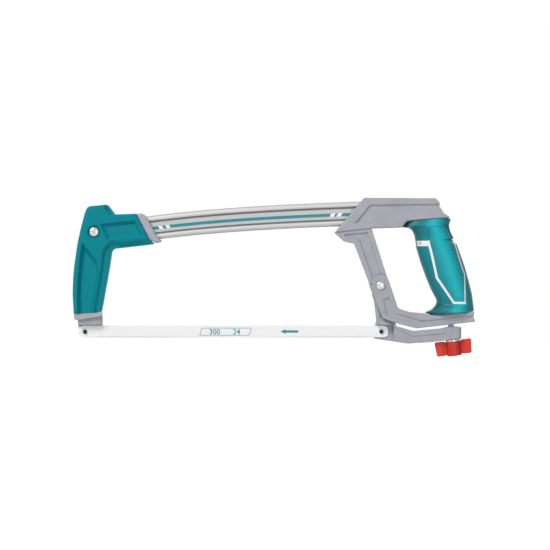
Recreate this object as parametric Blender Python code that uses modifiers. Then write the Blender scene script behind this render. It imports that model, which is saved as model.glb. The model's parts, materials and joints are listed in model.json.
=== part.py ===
"""A hacksaw: a steel blade held between a bent tube's front arm and a D-shaped handle.

Lengths are millimetres and become metres as each mesh is made. Outlines are (x, z)
points in the saw's own plane, a third number rounding that corner. y runs across the
saw, and its left side faces -Y. The origin is the middle of the hand grip.
"""

import math

import bmesh
import bpy
from mathutils import Vector

MM = 0.001
GAP = 0.3  # kept between pieces that touch
FIT = 0.15  # radial play of a pin or a screw in its hole
RUN = 0.1  # radial play of the lever on its pivot
SIDES = 24  # of a round piece

# The saw's layout.
BLADE_SPAN = 300.0  # between the two blade pins
REAR_PIN = Vector((-66.4, -64.5))
TUBE_ABOVE_GRIP = 55.0  # the tube's centre where it enters the head
TUBE_MOUTH = -88.1  # where the tube enters the head
TUBE_DROP = 15.2  # the tube's front end is this much lower
ARM_REACH = 62.8  # from the front pin back to where the tube leaves its arm
TUBE_BEND = 0.363  # the bend's place, as a share of the free tube
TUBE_REAR_RISE = 3.5  # the tube's rise from its bend to the head
LEVER_ARM = Vector((-1.1, 46.9))  # from the rear pin up to the lever's pivot
KNOB_SEAT = Vector((5.6, -72.4))  # the knob's axis at the lever's underside
KNOB_TILT = math.radians(7)  # the knob's axis leans forward as it rises

# Blade.
BLADE_HEIGHT = 12.4
BLADE_THICKNESS = 0.65
BLADE_OVERHANG = 6.7  # past each hole's centre
TOOTH_PITCH = 25.4 / 24
TOOTH_DEPTH = 0.6
TOOTHLESS_END = 4.0
PIN_RADIUS = 1.9
PIN_PROUD = 1.9  # of the blade's left face
PIN_DEPTH = 5.5  # in the piece that holds it
PIN_HOLE_PLAY = 0.3  # round a pin in the blade's hole

# Tube.
TUBE_HEIGHT = 24.3
TUBE_WIDTH = 13.0
TUBE_WALL = 1.6
TUBE_ROUNDING = 5.2  # of the section's corners
TUBE_IN_HEAD = 38.0
TUBE_IN_ARM = 61.0
SET_SCREW_RADIUS = 2.5
SET_SCREW_SPACING = 16.0
SOCKET_SIZE = 1.25  # half the width of a set screw's hexagon

# Front arm and its covers.
SOCKET_WALL = 1.7
POST_WIDTH = 12.0
FLANGE_WIDTH = 19.0
LIP_WIDTH = 20.0
COVER_WIDTH = 24.0
POCKET_DEPTH = 1.2
BLOCK_FRONT = -6.8  # from the front pin
BLOCK_REAR = 18.1
BLOCK_BACK = 9.0  # how far the blade block reaches across the saw
BLOCK_BOTTOM = -4.5
FRONT_BOLT = Vector((9.6, 101.0))  # from the front pin
BOLT_RADIUS = 2.5
BOLT_HEAD_RADIUS = 4.85
BOLT_HEAD_HEIGHT = 2.4
CROSS_LENGTH = 5.2
CROSS_WIDTH = 1.1
CROSS_DEPTH = 1.6
COUNTERBORE_RADIUS = 6.4
COUNTERBORE_DEPTH = 2.2
NUT_ACROSS = 8.0
NUT_HEIGHT = 2.7
NUT_POCKET = 2.0

# Handle casting.
HEAD_WIDTH = 22.0
FRAME_WIDTH = 20.0  # of the strut, the fork and the bar
CORE_WIDTH = 12.0  # of the casting inside the grip
CORE_DEPTH = 13.0
FORK_SLOT = 8.6

# Lever, pivot and tension screw.
LEVER_WIDTH = 16.0
LEVER_BLADE = 8.0  # thickness of the arm between the fork's cheeks
LEVER_BOSS = 6.4
PIVOT_RADIUS = 3.5
PIVOT_BORE = 2.5
PIVOT_HEAD_RADIUS = 4.4
PIVOT_HEAD_HEIGHT = 2.4
PIVOT_BOLT_LENGTH = 9.0
DRIVER_SLOT = 1.2  # width and depth
LEVER_TURN = math.radians(3.3)  # how far the lever swings when the knob is let off
KNOB_TRAVEL = 5.0  # down its axis; the screw stands this far above its nut when tight
SCREW_RADIUS = 3.0
SQUARE_NUT = 10.0
SQUARE_NUT_HEIGHT = 5.0
WASHER_RADIUS = 7.4
WASHER_THICKNESS = 1.5
HUB_RADIUS = 7.5
HUB_HEIGHT = 14.6
WING_RADIUS = 19.0
WING_THICKNESS = 5.0
SCREW_HEAD_ACROSS = 10.0
SCREW_HEAD_HEIGHT = 4.0

# Grip.
GRIP_SLOPE = 0.0963  # rise per length of the grip's level rings
GRIP_SKIN = 1.2  # depth of the trim let into the grip
TRIM_WIDTH = 2.2
RING_POINTS = 24

# Places worked out from the sizes above.
PIVOT = REAR_PIN + LEVER_ARM
FRONT_PIN = REAR_PIN - Vector((BLADE_SPAN, 0))
HEAD = Vector((0, TUBE_ABOVE_GRIP))
COLLAR = Vector((FRONT_PIN.x + ARM_REACH, TUBE_ABOVE_GRIP - TUBE_DROP))
TUBE_REAR = Vector((TUBE_MOUTH, TUBE_ABOVE_GRIP))
BEND = Vector((COLLAR.x + TUBE_BEND * (TUBE_MOUTH - COLLAR.x), TUBE_ABOVE_GRIP - TUBE_REAR_RISE))
SEAT = BLADE_THICKNESS / 2 + GAP  # the plane that the blade's right side lies on
KNOB_UP = Vector((-math.sin(KNOB_TILT), math.cos(KNOB_TILT)))

for old in list(bpy.data.objects):
    bpy.data.objects.remove(old, do_unlink=True)
PARTS = bpy.data.collections.new("hacksaw")
CUTTERS = bpy.data.collections.new("cutters")
for collection in (PARTS, CUTTERS):
    bpy.context.scene.collection.children.link(collection)
CUTTERS.hide_render = True


def finish(name, colour, roughness, metallic):
    """A Principled material."""
    made = bpy.data.materials.new(name)
    made.use_nodes = True
    shader = made.node_tree.nodes["Principled BSDF"]
    shader.inputs["Base Color"].default_value = (*colour, 1)
    shader.inputs["Roughness"].default_value = roughness
    shader.inputs["Metallic"].default_value = metallic
    return made


CAST_GREY = finish("cast_grey", (0.40, 0.40, 0.45), 0.5, 0.3)
TUBE_GREY = finish("tube_grey", (0.65, 0.67, 0.66), 0.35, 0.8)
TEAL_PLASTIC = finish("teal_plastic", (0.01, 0.25, 0.29), 0.45, 0.0)
TEAL_RUBBER = finish("teal_rubber", (0.01, 0.28, 0.32), 0.6, 0.0)
WHITE_TRIM = finish("white_trim", (0.85, 0.86, 0.87), 0.4, 0.0)
RED_PLASTIC = finish("red_plastic", (0.70, 0.05, 0.05), 0.35, 0.0)
BLADE_STEEL = finish("blade_steel", (0.80, 0.81, 0.82), 0.3, 1.0)
BRIGHT_STEEL = finish("bright_steel", (0.75, 0.75, 0.75), 0.15, 1.0)
DARK_STEEL = finish("dark_steel", (0.06, 0.06, 0.06), 0.4, 0.9)


def corner(points, at, steps=4):
    """One corner of an outline, as an arc where the point gives a radius."""
    here = Vector(points[at][:2])
    if len(points[at]) < 3:
        return [here]
    radius = points[at][2]
    to_last = (Vector(points[at - 1][:2]) - here).normalized()
    to_next = (Vector(points[(at + 1) % len(points)][:2]) - here).normalized()
    half = to_last.angle(to_next) / 2
    reach = radius / math.tan(half)
    centre = here + (to_last + to_next).normalized() * radius / math.sin(half)
    first = here + to_last * reach
    last = here + to_next * reach
    spokes = [first.lerp(last, k / steps) - centre for k in range(steps + 1)]
    return [centre + spoke.normalized() * radius for spoke in spokes]


def outline(*groups):
    """A closed outline from groups of (reference point, points measured from it)."""
    points = [
        (origin[0] + x, origin[1] + z, *radius)
        for origin, group in groups
        for x, z, *radius in group
    ]
    return [p for at in range(len(points)) for p in corner(points, at)]


def grown(shape, by):
    """An outline moved outwards, with mitred corners."""
    turns = sum(a.cross(b) for a, b in zip(shape, shape[1:] + shape[:1]))
    side = math.copysign(1, turns)
    result = []
    for last, here, following in zip(shape[-1:] + shape[:-1], shape, shape[1:] + shape[:1]):
        first = (here - last).normalized()
        second = (following - here).normalized()
        out_1 = Vector((first.y, -first.x)) * side
        out_2 = Vector((second.y, -second.x)) * side
        result.append(here + (out_1 + out_2) / (1 + out_1.dot(out_2)) * by)
    return result


def rectangle(width, height, *radius):
    """An outline about (0, 0), its corners rounded if a radius is given."""
    x, z = width / 2, height / 2
    return outline(((0, 0), [(-x, -z, *radius), (x, -z, *radius), (x, z, *radius), (-x, z, *radius)]))


def ribbon(path, width):
    """The outline of a strip of even width along an open path."""
    sides = []
    for at, here in enumerate(path):
        first = (here - path[at - 1]).normalized() if at else None
        second = (path[at + 1] - here).normalized() if at + 1 < len(path) else None
        first, second = first or second, second or first
        out_1 = Vector((first.y, -first.x))
        out_2 = Vector((second.y, -second.x))
        sides.append((out_1 + out_2) / (1 + out_1.dot(out_2)) * width / 2)
    left = [p + s for p, s in zip(path, sides)]
    right = [p - s for p, s in zip(path, sides)]
    return left + right[::-1]


def placed(name, mesh, material):
    """A new object among the parts, with one material."""
    made = bpy.data.objects.new(name, mesh)
    PARTS.objects.link(made)
    if material:
        mesh.materials.append(material)
    return made


def cleaned(mesh, shape):
    """Fills a mesh from bmesh, faces out."""
    bmesh.ops.recalc_face_normals(shape, faces=shape.faces)
    shape.to_mesh(mesh)
    shape.free()
    return mesh


def meshed(guide, material=None):
    """A curve object turned into a mesh object, its caps welded on."""
    PARTS.objects.link(guide)
    bpy.context.view_layer.update()
    graph = bpy.context.evaluated_depsgraph_get()
    mesh = bpy.data.meshes.new_from_object(guide.evaluated_get(graph))
    shape = bmesh.new()
    shape.from_mesh(mesh)
    bmesh.ops.remove_doubles(shape, verts=shape.verts, dist=GAP / 100 * MM)
    name = guide.name
    place = guide.matrix_world.copy()
    bpy.data.objects.remove(guide)
    mesh.materials.clear()
    made = placed(name, cleaned(mesh, shape), material)
    made.matrix_world = place
    return made


def flat_curve(name, *shapes):
    """A filled 2D curve of an outline and any holes in it."""
    curve = bpy.data.curves.new(name, "CURVE")
    curve.dimensions = "2D"
    curve.fill_mode = "BOTH"
    for shape in shapes:
        spline = curve.splines.new("POLY")
        spline.points.add(len(shape) - 1)
        for point, (x, z) in zip(spline.points, shape):
            point.co = (x * MM, z * MM, 0, 1)
        spline.use_cyclic_u = True
    return curve


def plate(name, shape, low, high, material=None, holes=()):
    """An outline in the saw's plane, given thickness from y = low to y = high."""
    curve = flat_curve(name, shape, *holes)
    curve.extrude = (high - low) / 2 * MM
    guide = bpy.data.objects.new(name, curve)
    guide.location.y = (low + high) / 2 * MM
    guide.rotation_euler.x = math.pi / 2
    return meshed(guide, material)


def slab(name, shape, low, high, material=None):
    """An outline of (x, y) points, given height from z = low to z = high."""
    curve = flat_curve(name, shape)
    curve.extrude = (high - low) / 2 * MM
    guide = bpy.data.objects.new(name, curve)
    guide.location.z = (low + high) / 2 * MM
    return meshed(guide, material)


def rod(name, at, low, high, radius, material=None, sides=SIDES):
    """A cylinder across the saw at (x, z), from y = low to y = high."""
    shape = bmesh.new()
    bmesh.ops.create_cone(
        shape, cap_ends=True, segments=sides, radius1=radius * MM, radius2=radius * MM,
        depth=(high - low) * MM,
    )
    made = placed(name, cleaned(bpy.data.meshes.new(name), shape), material)
    made.location = (at[0] * MM, (low + high) / 2 * MM, at[1] * MM)
    made.rotation_euler.x = math.pi / 2
    return made


def turned(name, profile, material=None):
    """A profile of (radius, height) points, top to bottom down its outside, turned round."""
    mesh = bpy.data.meshes.new(name)
    points = [(radius * MM, 0, height * MM) for radius, height in profile]
    mesh.from_pydata(points, [(i, i + 1) for i in range(len(points) - 1)], [])
    made = placed(name, mesh, material)
    screw = made.modifiers.new("turn", "SCREW")
    screw.steps = screw.render_steps = SIDES
    screw.use_merge_vertices = True
    screw.merge_threshold = GAP / 100 * MM
    return made


def across(piece, at, y, faces_left=True):
    """Lays a turned piece across the saw, its top towards the left or the right."""
    piece.location = (at[0] * MM, y * MM, at[1] * MM)
    piece.rotation_euler.x = math.pi / 2 if faces_left else -math.pi / 2
    return piece


def on_knob_axis(piece):
    """Stands a turned piece on the knob's axis, its zero height at the lever's underside."""
    piece.location = (KNOB_SEAT.x * MM, 0, KNOB_SEAT.y * MM)
    piece.rotation_euler.y = -KNOB_TILT
    return piece


def knob_axis_hole(name, radius, high, low):
    """A round cutter on the knob's axis."""
    return on_knob_axis(turned(name, [(0, high), (radius, high), (radius, low), (0, low)]))


def combined(piece, operation, others):
    """Adds a live Boolean for each other shape and stows that shape with the cutters."""
    for other in others:
        boolean = piece.modifiers.new(other.name, "BOOLEAN")
        boolean.operation = operation
        boolean.solver = "EXACT"
        boolean.object = other
        if other.name in PARTS.objects:
            PARTS.objects.unlink(other)
            CUTTERS.objects.link(other)
            other.hide_render = True
            other.display_type = "WIRE"
    return piece


def cut(piece, *cutters):
    return combined(piece, "DIFFERENCE", cutters)


def joined(piece, *additions):
    return combined(piece, "UNION", additions)


def polygon(radius, sides, start=0.0):
    """A regular outline about (0, 0)."""
    angles = [start + 2 * math.pi * k / sides for k in range(sides)]
    return [Vector((math.cos(a), math.sin(a))) * radius for a in angles]


def hexagon(across_flats):
    return polygon(across_flats / math.sqrt(3), 6)


def moved(shape, by):
    return [p + by for p in shape]


def tube_path(front, rear):
    """The tube's centre line: a bent stretch with a straight end of each given length."""
    steps = 12
    path = []
    for k in range(steps + 1):
        t = k / steps
        path.append(COLLAR * (1 - t) ** 2 + BEND * 2 * t * (1 - t) + TUBE_REAR * t * t)
    forwards = (COLLAR - BEND).normalized()
    backwards = (TUBE_REAR - BEND).normalized()
    return [COLLAR + forwards * front, *path, TUBE_REAR + backwards * rear]


def tube_solid(name, grow, front, rear, material=None):
    """The tube's oval section, grown all round, along its centre line."""
    section = rectangle(TUBE_WIDTH + 2 * grow, TUBE_HEIGHT + 2 * grow, TUBE_ROUNDING + grow)
    ring = bpy.data.objects.new(name + "_section", flat_curve(name + "_section", section))
    CUTTERS.objects.link(ring)
    ring.hide_render = True
    curve = bpy.data.curves.new(name, "CURVE")
    curve.dimensions = "3D"
    curve.twist_mode = "Z_UP"
    curve.bevel_mode = "OBJECT"
    curve.bevel_object = ring
    curve.use_fill_caps = True
    points = tube_path(front, rear)
    spline = curve.splines.new("POLY")
    spline.points.add(len(points) - 1)
    for point, (x, z) in zip(spline.points, points):
        point.co = (x * MM, 0, z * MM, 1)
    return meshed(bpy.data.objects.new(name, curve), material)


# ---------------------------------------------------------------- blade and pins


def make_blade():
    """The toothed strip, teeth pointing away from the hand, with a hole at each end."""
    low = FRONT_PIN.y - BLADE_HEIGHT / 2
    high = FRONT_PIN.y + BLADE_HEIGHT / 2
    front = FRONT_PIN.x - BLADE_OVERHANG
    rear = REAR_PIN.x + BLADE_OVERHANG
    count = int((rear - front - 2 * TOOTHLESS_END) / TOOTH_PITCH)
    first = (front + rear - count * TOOTH_PITCH) / 2
    teeth = []
    for k in range(count):
        tip = first + k * TOOTH_PITCH
        teeth += [Vector((tip, low)), Vector((tip + TOOTH_PITCH, low + TOOTH_DEPTH))]
    gullet = low + TOOTH_DEPTH
    ends = outline(
        ((0, 0), [(rear, gullet, 2.5), (rear, high, 3.0), (front, high, 4.5), (front, gullet, 4.5)])
    )
    shape = teeth + ends + [Vector((first, gullet))]
    holes = [moved(polygon(PIN_RADIUS + PIN_HOLE_PLAY, SIDES), pin) for pin in (FRONT_PIN, REAR_PIN)]
    half = BLADE_THICKNESS / 2
    return plate("blade", shape, -half, half, BLADE_STEEL, holes)


def blade_pin(name, at):
    """A black steel pin that stands out past the blade's left face."""
    return rod(name, at, -BLADE_THICKNESS / 2 - PIN_PROUD, SEAT + PIN_DEPTH, PIN_RADIUS, DARK_STEEL)


def pin_hole(name, at):
    """A blind hole for a blade pin, open at the blade's seat."""
    return rod(name, at, SEAT - 1, SEAT + PIN_DEPTH + GAP, PIN_RADIUS + FIT)


# ---------------------------------------------------------------- tube and front arm


def make_tube():
    """The drawn aluminium tube, drilled across for the bolt that holds it in the front arm."""
    tube = tube_solid("frame_tube", 0, TUBE_IN_ARM, TUBE_IN_HEAD, TUBE_GREY)
    bolt = FRONT_PIN + FRONT_BOLT
    return cut(
        tube,
        tube_solid("tube_bore", -TUBE_WALL, TUBE_IN_ARM + 1, TUBE_IN_HEAD + 1),
        rod("tube_bolt_hole", bolt, -TUBE_WIDTH, TUBE_WIDTH, BOLT_RADIUS + FIT),
    )


SLOPE = (BEND - COLLAR).normalized()  # the tube's direction where it leaves the arm
ACROSS = Vector((-SLOPE.y, SLOPE.x))
COVER_MOUTH = [(-11.0, 15.0), (2.8, -11.8)]  # the covers' slanted rear edge, from the collar
FLANGE_TOP = [(-10.8, 17.6), (17.1, 19.8)]  # the covers stand on this slanted edge


def socket_shape():
    """The arm's socket, side view: it follows the tube and ends level with the covers."""
    half = TUBE_HEIGHT / 2 + GAP + SOCKET_WALL
    front = COLLAR - SLOPE * (TUBE_IN_ARM + GAP + SOCKET_WALL)
    rear = COLLAR + SLOPE * 3
    shape = [front - ACROSS * half, rear - ACROSS * half, COLLAR - SLOPE * 6 + ACROSS * half]
    return shape + [front + ACROSS * half]


def post_shape():
    """The arm's post, side view, from the socket down to the flange."""
    top = [(-66.0, -16.0), (-66.5, -8.0), (-47.0, -8.0), (-45.0, -16.0)]
    return outline((COLLAR, top), (FRONT_PIN, [(12.5, 19.0), (11.5, 14.0), (-7.0, 14.0), (-7.0, 19.0)]))


def make_front_arm():
    """The grey casting inside the covers: tube socket with a lip, post, flange and blade block."""
    half = TUBE_WIDTH / 2 + GAP + SOCKET_WALL
    arm = plate("front_arm", socket_shape(), -half, half, CAST_GREY)
    post = plate("arm_post", post_shape(), -POST_WIDTH / 2, POST_WIDTH / 2)
    (top_x, top_z), (low_x, low_z) = COVER_MOUTH
    lip = [(top_x + GAP, top_z), (-4.2, 15.3), (-0.4, 12.3), (1.7, 8.5), (10.6, -8.5), (15.5, -13.2)]
    lip += [(9.4, -14.9), (low_x + 0.5, low_z + 0.4)]
    lip = plate("arm_lip", outline((COLLAR, lip)), -LIP_WIDTH / 2, LIP_WIDTH / 2)
    flange = FLANGE_TOP[::-1] + [(-10.3, 12.4, 1.0), (-6.8, 11.8), (18.1, 15.9), (17.1, 17.3)]
    flange = plate("arm_flange", outline((FRONT_PIN, flange)), -FLANGE_WIDTH / 2, FLANGE_WIDTH / 2)
    bevel = BLOCK_BACK - SEAT - 3
    block = [(BLOCK_FRONT, SEAT), (BLOCK_REAR - bevel, SEAT), (BLOCK_REAR, SEAT + bevel)]
    block += [(BLOCK_REAR, BLOCK_BACK), (BLOCK_FRONT, BLOCK_BACK)]
    block = slab(
        "arm_block", outline(((FRONT_PIN.x, 0), block)),
        FRONT_PIN.y + BLOCK_BOTTOM, FRONT_PIN.y + 15.0,
    )
    joined(arm, post, lip, flange, block)
    bolt = FRONT_PIN + FRONT_BOLT
    return cut(
        arm,
        tube_solid("arm_socket", GAP, TUBE_IN_ARM + GAP, TUBE_IN_HEAD + 1),
        rod("arm_bolt_hole", bolt, -COVER_WIDTH, COVER_WIDTH, BOLT_RADIUS + FIT),
        pin_hole("arm_pin_hole", FRONT_PIN),
    )


def cover_shape():
    """The covers' side view: a humped top, a concave inner corner and a bowed post."""
    flange = Vector((0, GAP))
    hump = [(-69.7, -14.0), (-66.2, 1.7), (-62.5, 15.7), (-59.6, 22.2, 4.0), (-39.6, 24.1, 3.0)]
    hump += [(-31.9, 14.4)]
    under = [(8.2, -15.2), (2.0, -16.4), (-28.6, -19.6), (-35.3, -20.3, 5.0)]
    (left_x, left_z), (right_x, right_z) = FLANGE_TOP
    post = [(24.1, 63.0), (18.2, 30.4), (right_x - 0.2, right_z), (left_x, left_z)]
    post += [(-12.0, 38.0), (-11.4, 55.0), (-10.2, 67.7)]
    return outline((COLLAR, hump + COVER_MOUTH + under), (FRONT_PIN + flange, post))


def make_front_cover(name, side):
    """One half of the teal shell over the front arm; side is -1 on the left, 1 on the right."""
    outer = side * COVER_WIDTH / 2
    low, high = sorted((side * GAP / 2, outer))
    cover = plate(name, cover_shape(), low, high, TEAL_PLASTIC)
    half = TUBE_WIDTH / 2 + 2 * GAP + SOCKET_WALL
    bolt = FRONT_PIN + FRONT_BOLT
    inside = POST_WIDTH / 2 + GAP
    upper = outline((COLLAR, [(-48.3, 4.7, 1.5), (-11.6, 8.0, 1.5), (-4.2, -7.6, 1.5), (-40.5, -11.3, 1.5)]))
    pin_to_top = [(-1.6, 88.0), (15.3, 70.0), (20.0, 60.0), (9.0, 12.0), (-8.0, 12.0), (-7.5, 55.0)]
    lower = outline((FRONT_PIN, pin_to_top))
    floor, face = sorted((outer - side * POCKET_DEPTH, outer + side))
    cut(
        cover,
        plate(f"{name}_socket_room", grown(socket_shape(), GAP), -half, half),
        plate(f"{name}_post_room", grown(post_shape(), GAP), -inside, inside),
        tube_solid(f"{name}_tube_room", GAP, TUBE_IN_ARM, TUBE_IN_HEAD + 1),
        rod(f"{name}_bolt_hole", bolt, -COVER_WIDTH, COVER_WIDTH, BOLT_RADIUS + FIT),
        plate(f"{name}_upper_pocket", upper, floor, face),
        plate(f"{name}_lower_pocket", lower, floor, face),
    )
    if side < 0:
        floor = outer + COUNTERBORE_DEPTH
        return cut(cover, rod("bolt_counterbore", bolt, -COVER_WIDTH, floor, COUNTERBORE_RADIUS))
    pocket = moved(hexagon(NUT_ACROSS + 2 * GAP), bolt)
    return cut(cover, plate("nut_pocket", pocket, outer - NUT_POCKET, COVER_WIDTH))


def make_front_bolt():
    """The cross-recessed pan-head bolt through the covers, the arm and the tube."""
    seat = -COVER_WIDTH / 2 + COUNTERBORE_DEPTH - GAP
    end = COVER_WIDTH / 2 - NUT_POCKET + NUT_HEIGHT
    length = end - seat
    head, tall = BOLT_HEAD_RADIUS, BOLT_HEAD_HEIGHT
    profile = [(0, tall), (head * 0.6, tall * 0.9), (head * 0.93, tall * 0.5)]
    profile += [(head, 0.4), (head, 0), (BOLT_RADIUS, 0), (BOLT_RADIUS, -length), (0, -length)]
    bolt = across(turned("front_bolt", profile, BRIGHT_STEEL), FRONT_PIN + FRONT_BOLT, seat)
    face = seat - tall
    for number, size in enumerate([(CROSS_LENGTH, CROSS_WIDTH), (CROSS_WIDTH, CROSS_LENGTH)]):
        bar = moved(rectangle(*size), FRONT_PIN + FRONT_BOLT)
        cut(bolt, plate(f"bolt_recess_{number}", bar, face - 1, face + CROSS_DEPTH))
    return bolt


def make_front_nut():
    """The hexagon nut let into the right cover."""
    inner = COVER_WIDTH / 2 - NUT_POCKET + GAP
    shape = moved(hexagon(NUT_ACROSS), FRONT_PIN + FRONT_BOLT)
    nut = plate("front_nut", shape, inner, inner + NUT_HEIGHT, BRIGHT_STEEL)
    return cut(nut, rod("nut_thread", FRONT_PIN + FRONT_BOLT, 0, COVER_WIDTH, BOLT_RADIUS + FIT))


# ---------------------------------------------------------------- handle casting


HEAD_REAR = [(-11.8, 15.4, 1.5), (-7.3, 9.9), (-8.6, 8.1), (-3.1, 0.0), (1.9, -3.2)]
HEAD_UNDER = [(1.9, -4.1), (-40.9, -7.6), (-45.5, -13.9), (-76.5, -15.1)]


def frame_shape():
    """The strut, the fork and the bar, side view, open to the finger hole behind the strut."""
    upper = [(-76.5, -15.1), (-76.5, -8.0), (-106.0, -12.0), (-114.0, -19.3), (-104.2, -28.0), (-93.3, -30.3)]
    fork_left = [(-10.3, 3.7), (-9.9, -1.0, 3.0)]
    lower = [(-4.8, 28.6), (0.3, 13.6), (6.2, 11.7), (18.1, 7.7), (35.1, 3.6), (94.7, 10.3, 0.8)]
    lower += [(92.5, 16.2), (93.4, 20.4), (50.7, 16.5), (44.1, 18.6), (29.0, 19.9, 8.0), (16.8, 23.7, 3.0)]
    fork_right = [(8.7, 4.9), (7.3, 7.5)]
    return outline((HEAD, upper), (PIVOT, fork_left), (REAR_PIN, lower), (PIVOT, fork_right))


def core_shape():
    """The part of the casting that the grip is moulded over."""
    low = REAR_PIN + Vector((69.9, 15.0))
    high = HEAD + Vector((-20.5, -2.0))
    return ribbon([low, high], CORE_DEPTH)


def slot_shape():
    """Room for the lever between the fork's cheeks, open in front and below."""
    room = LEVER_BOSS + 0.7
    top = [(-30.0, 7.6), (-3.0, 7.6)]
    top += [(room * math.sin(a), room * math.cos(a)) for a in (0.0, 0.5, 1.0, 1.5)]
    bottom = [(7.6, 26.2), (15.4, 9.3), (15.4, -5.0), (-30.0, -5.0)]
    return outline((PIVOT, top), (REAR_PIN, bottom))


def nut_place():
    """How far up the knob's axis the square nut's middle lies."""
    return (REAR_PIN + Vector((69.0, 12.0)) - KNOB_SEAT).dot(KNOB_UP)


def nut_room():
    """The slot across the bar that the square nut slides into from the right."""
    half = SQUARE_NUT / 2 + GAP
    side = Vector((KNOB_UP.y, -KNOB_UP.x)) * half
    up = KNOB_UP * (SQUARE_NUT_HEIGHT / 2 + GAP)
    middle = KNOB_SEAT + KNOB_UP * nut_place()
    shape = [middle - side - up, middle + side - up, middle + side + up, middle - side + up]
    return plate("square_nut_room", shape, -half, HEAD_WIDTH)


def set_screw_places():
    """The two grub screws on the head's right side, either side of the tube's hold."""
    backwards = (TUBE_REAR - BEND).normalized()
    middle = TUBE_REAR + backwards * (TUBE_IN_HEAD / 2)
    return [middle + backwards * (k * SET_SCREW_SPACING / 2) for k in (-1, 1)]


def make_handle():
    """The die-cast handle: head, strut, fork, bar and the core of the grip, in one casting."""
    head = outline((HEAD, [(-114.0, -19.3), (-84.2, 15.9, 1.5), *HEAD_REAR, *HEAD_UNDER]))
    casting = plate("handle_casting", head, -HEAD_WIDTH / 2, HEAD_WIDTH / 2, CAST_GREY)
    frame = plate("handle_frame", frame_shape(), -FRAME_WIDTH / 2, FRAME_WIDTH / 2)
    core = plate("handle_core", core_shape(), -CORE_WIDTH / 2, CORE_WIDTH / 2)
    joined(casting, frame, core)
    screw_top = nut_place() + SQUARE_NUT_HEIGHT / 2 + KNOB_TRAVEL + 1
    screw_room = SCREW_RADIUS + 2 * FIT
    panel = [(-78.3, 8.8), (-8.6, 9.6), (-1.2, -0.6), (-47.6, -4.8), (-90.9, -9.8), (-94.6, -10.7)]
    strut = [(-105.3, -21.0), (-80.5, -18.5)]
    strut_low = [(0.2, 11.6), (-9.0, 8.8)]
    strut_end = [(-89.7, -26.7), (-101.0, -24.8)]
    recess = outline((HEAD, strut), (PIVOT, strut_low), (HEAD, strut_end))
    left = -FRAME_WIDTH / 2
    cut(
        casting,
        tube_solid("head_socket", GAP, TUBE_IN_ARM, TUBE_IN_HEAD + GAP),
        plate("fork_slot", slot_shape(), -FORK_SLOT / 2, FORK_SLOT / 2),
        rod("pivot_hole", PIVOT, -HEAD_WIDTH, HEAD_WIDTH, PIVOT_RADIUS + RUN),
        nut_room(),
        knob_axis_hole("screw_room", screw_room, screw_top, 0),
        plate("panel_recess_left", outline((HEAD, panel)), -HEAD_WIDTH, -HEAD_WIDTH / 2 + 1),
        plate("panel_recess_right", outline((HEAD, panel)), HEAD_WIDTH / 2 - 1, HEAD_WIDTH),
        plate("strut_recess_left", recess, left - 5, left + 1.5),
        plate("strut_recess_right", recess, -left - 1.5, -left + 5),
    )
    for number, place in enumerate(set_screw_places()):
        hole = SET_SCREW_RADIUS + FIT
        cut(casting, rod(f"set_screw_hole_{number}", place, TUBE_WIDTH / 2, HEAD_WIDTH, hole))
    return casting


def make_set_screws():
    """Two hexagon-socket grub screws that hold the tube in the head."""
    inner = TUBE_WIDTH / 2 + GAP
    outer = HEAD_WIDTH / 2 - 1.2
    screws = []
    for name, place in zip(("tube_set_screw_front", "tube_set_screw_rear"), set_screw_places()):
        screw = rod(name, place, inner, outer, SET_SCREW_RADIUS, DARK_STEEL)
        socket = moved(hexagon(2 * SOCKET_SIZE), place)
        screws.append(cut(screw, plate(f"{name}_socket", socket, outer - 1.5, outer + 1)))
    return screws


# ---------------------------------------------------------------- grip


# The grip's rings from top to bottom: height at x = 0, front edge, back edge, half width.
GRIP_RINGS = [
    (50.4, -40.2, 2.5, 12.3),
    (45.2, -43.4, 3.2, 12.3),
    (43.4, -38.4, 2.3, 12.6),
    (38.0, -33.9, 2.8, 13.4),
    (29.4, -31.0, 6.7, 14.6),
    (20.0, -29.0, 10.2, 15.2),
    (8.7, -25.9, 14.7, 15.6),
    (-6.7, -20.4, 20.0, 15.6),
    (-20.1, -15.1, 23.8, 15.2),
    (-31.5, -10.4, 26.0, 14.8),
    (-36.0, -11.6, 26.6, 14.6),
    (-40.4, -15.7, 27.0, 14.4),
    (-43.0, -22.0, 27.1, 14.2),
    (-45.6, -16.2, 27.0, 14.0),
]


def grip_solid(name, shrink, material=None):
    """A loft through the grip's rings, each drawn in by the same amount."""
    shape = bmesh.new()
    rings = []
    for height, front, back, half_width in GRIP_RINGS:
        middle = (front + back) / 2
        long = (back - front) / 2 - shrink
        wide = half_width - shrink
        ring = []
        for k in range(RING_POINTS):
            angle = 2 * math.pi * k / RING_POINTS
            c, s = math.cos(angle), math.sin(angle)
            x = middle + long * math.copysign(abs(c) ** 0.8, c)
            y = wide * math.copysign(abs(s) ** 0.8, s)
            ring.append(shape.verts.new((x * MM, y * MM, (height + x * GRIP_SLOPE) * MM)))
        rings.append(ring)
    for upper, lower in zip(rings, rings[1:]):
        for k in range(RING_POINTS):
            following = (k + 1) % RING_POINTS
            shape.faces.new((upper[k], upper[following], lower[following], lower[k]))
    shape.faces.new(rings[0])
    shape.faces.new(rings[-1])
    bmesh.ops.triangulate(shape, faces=shape.faces)
    return placed(name, cleaned(bpy.data.meshes.new(name), shape), material)


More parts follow.
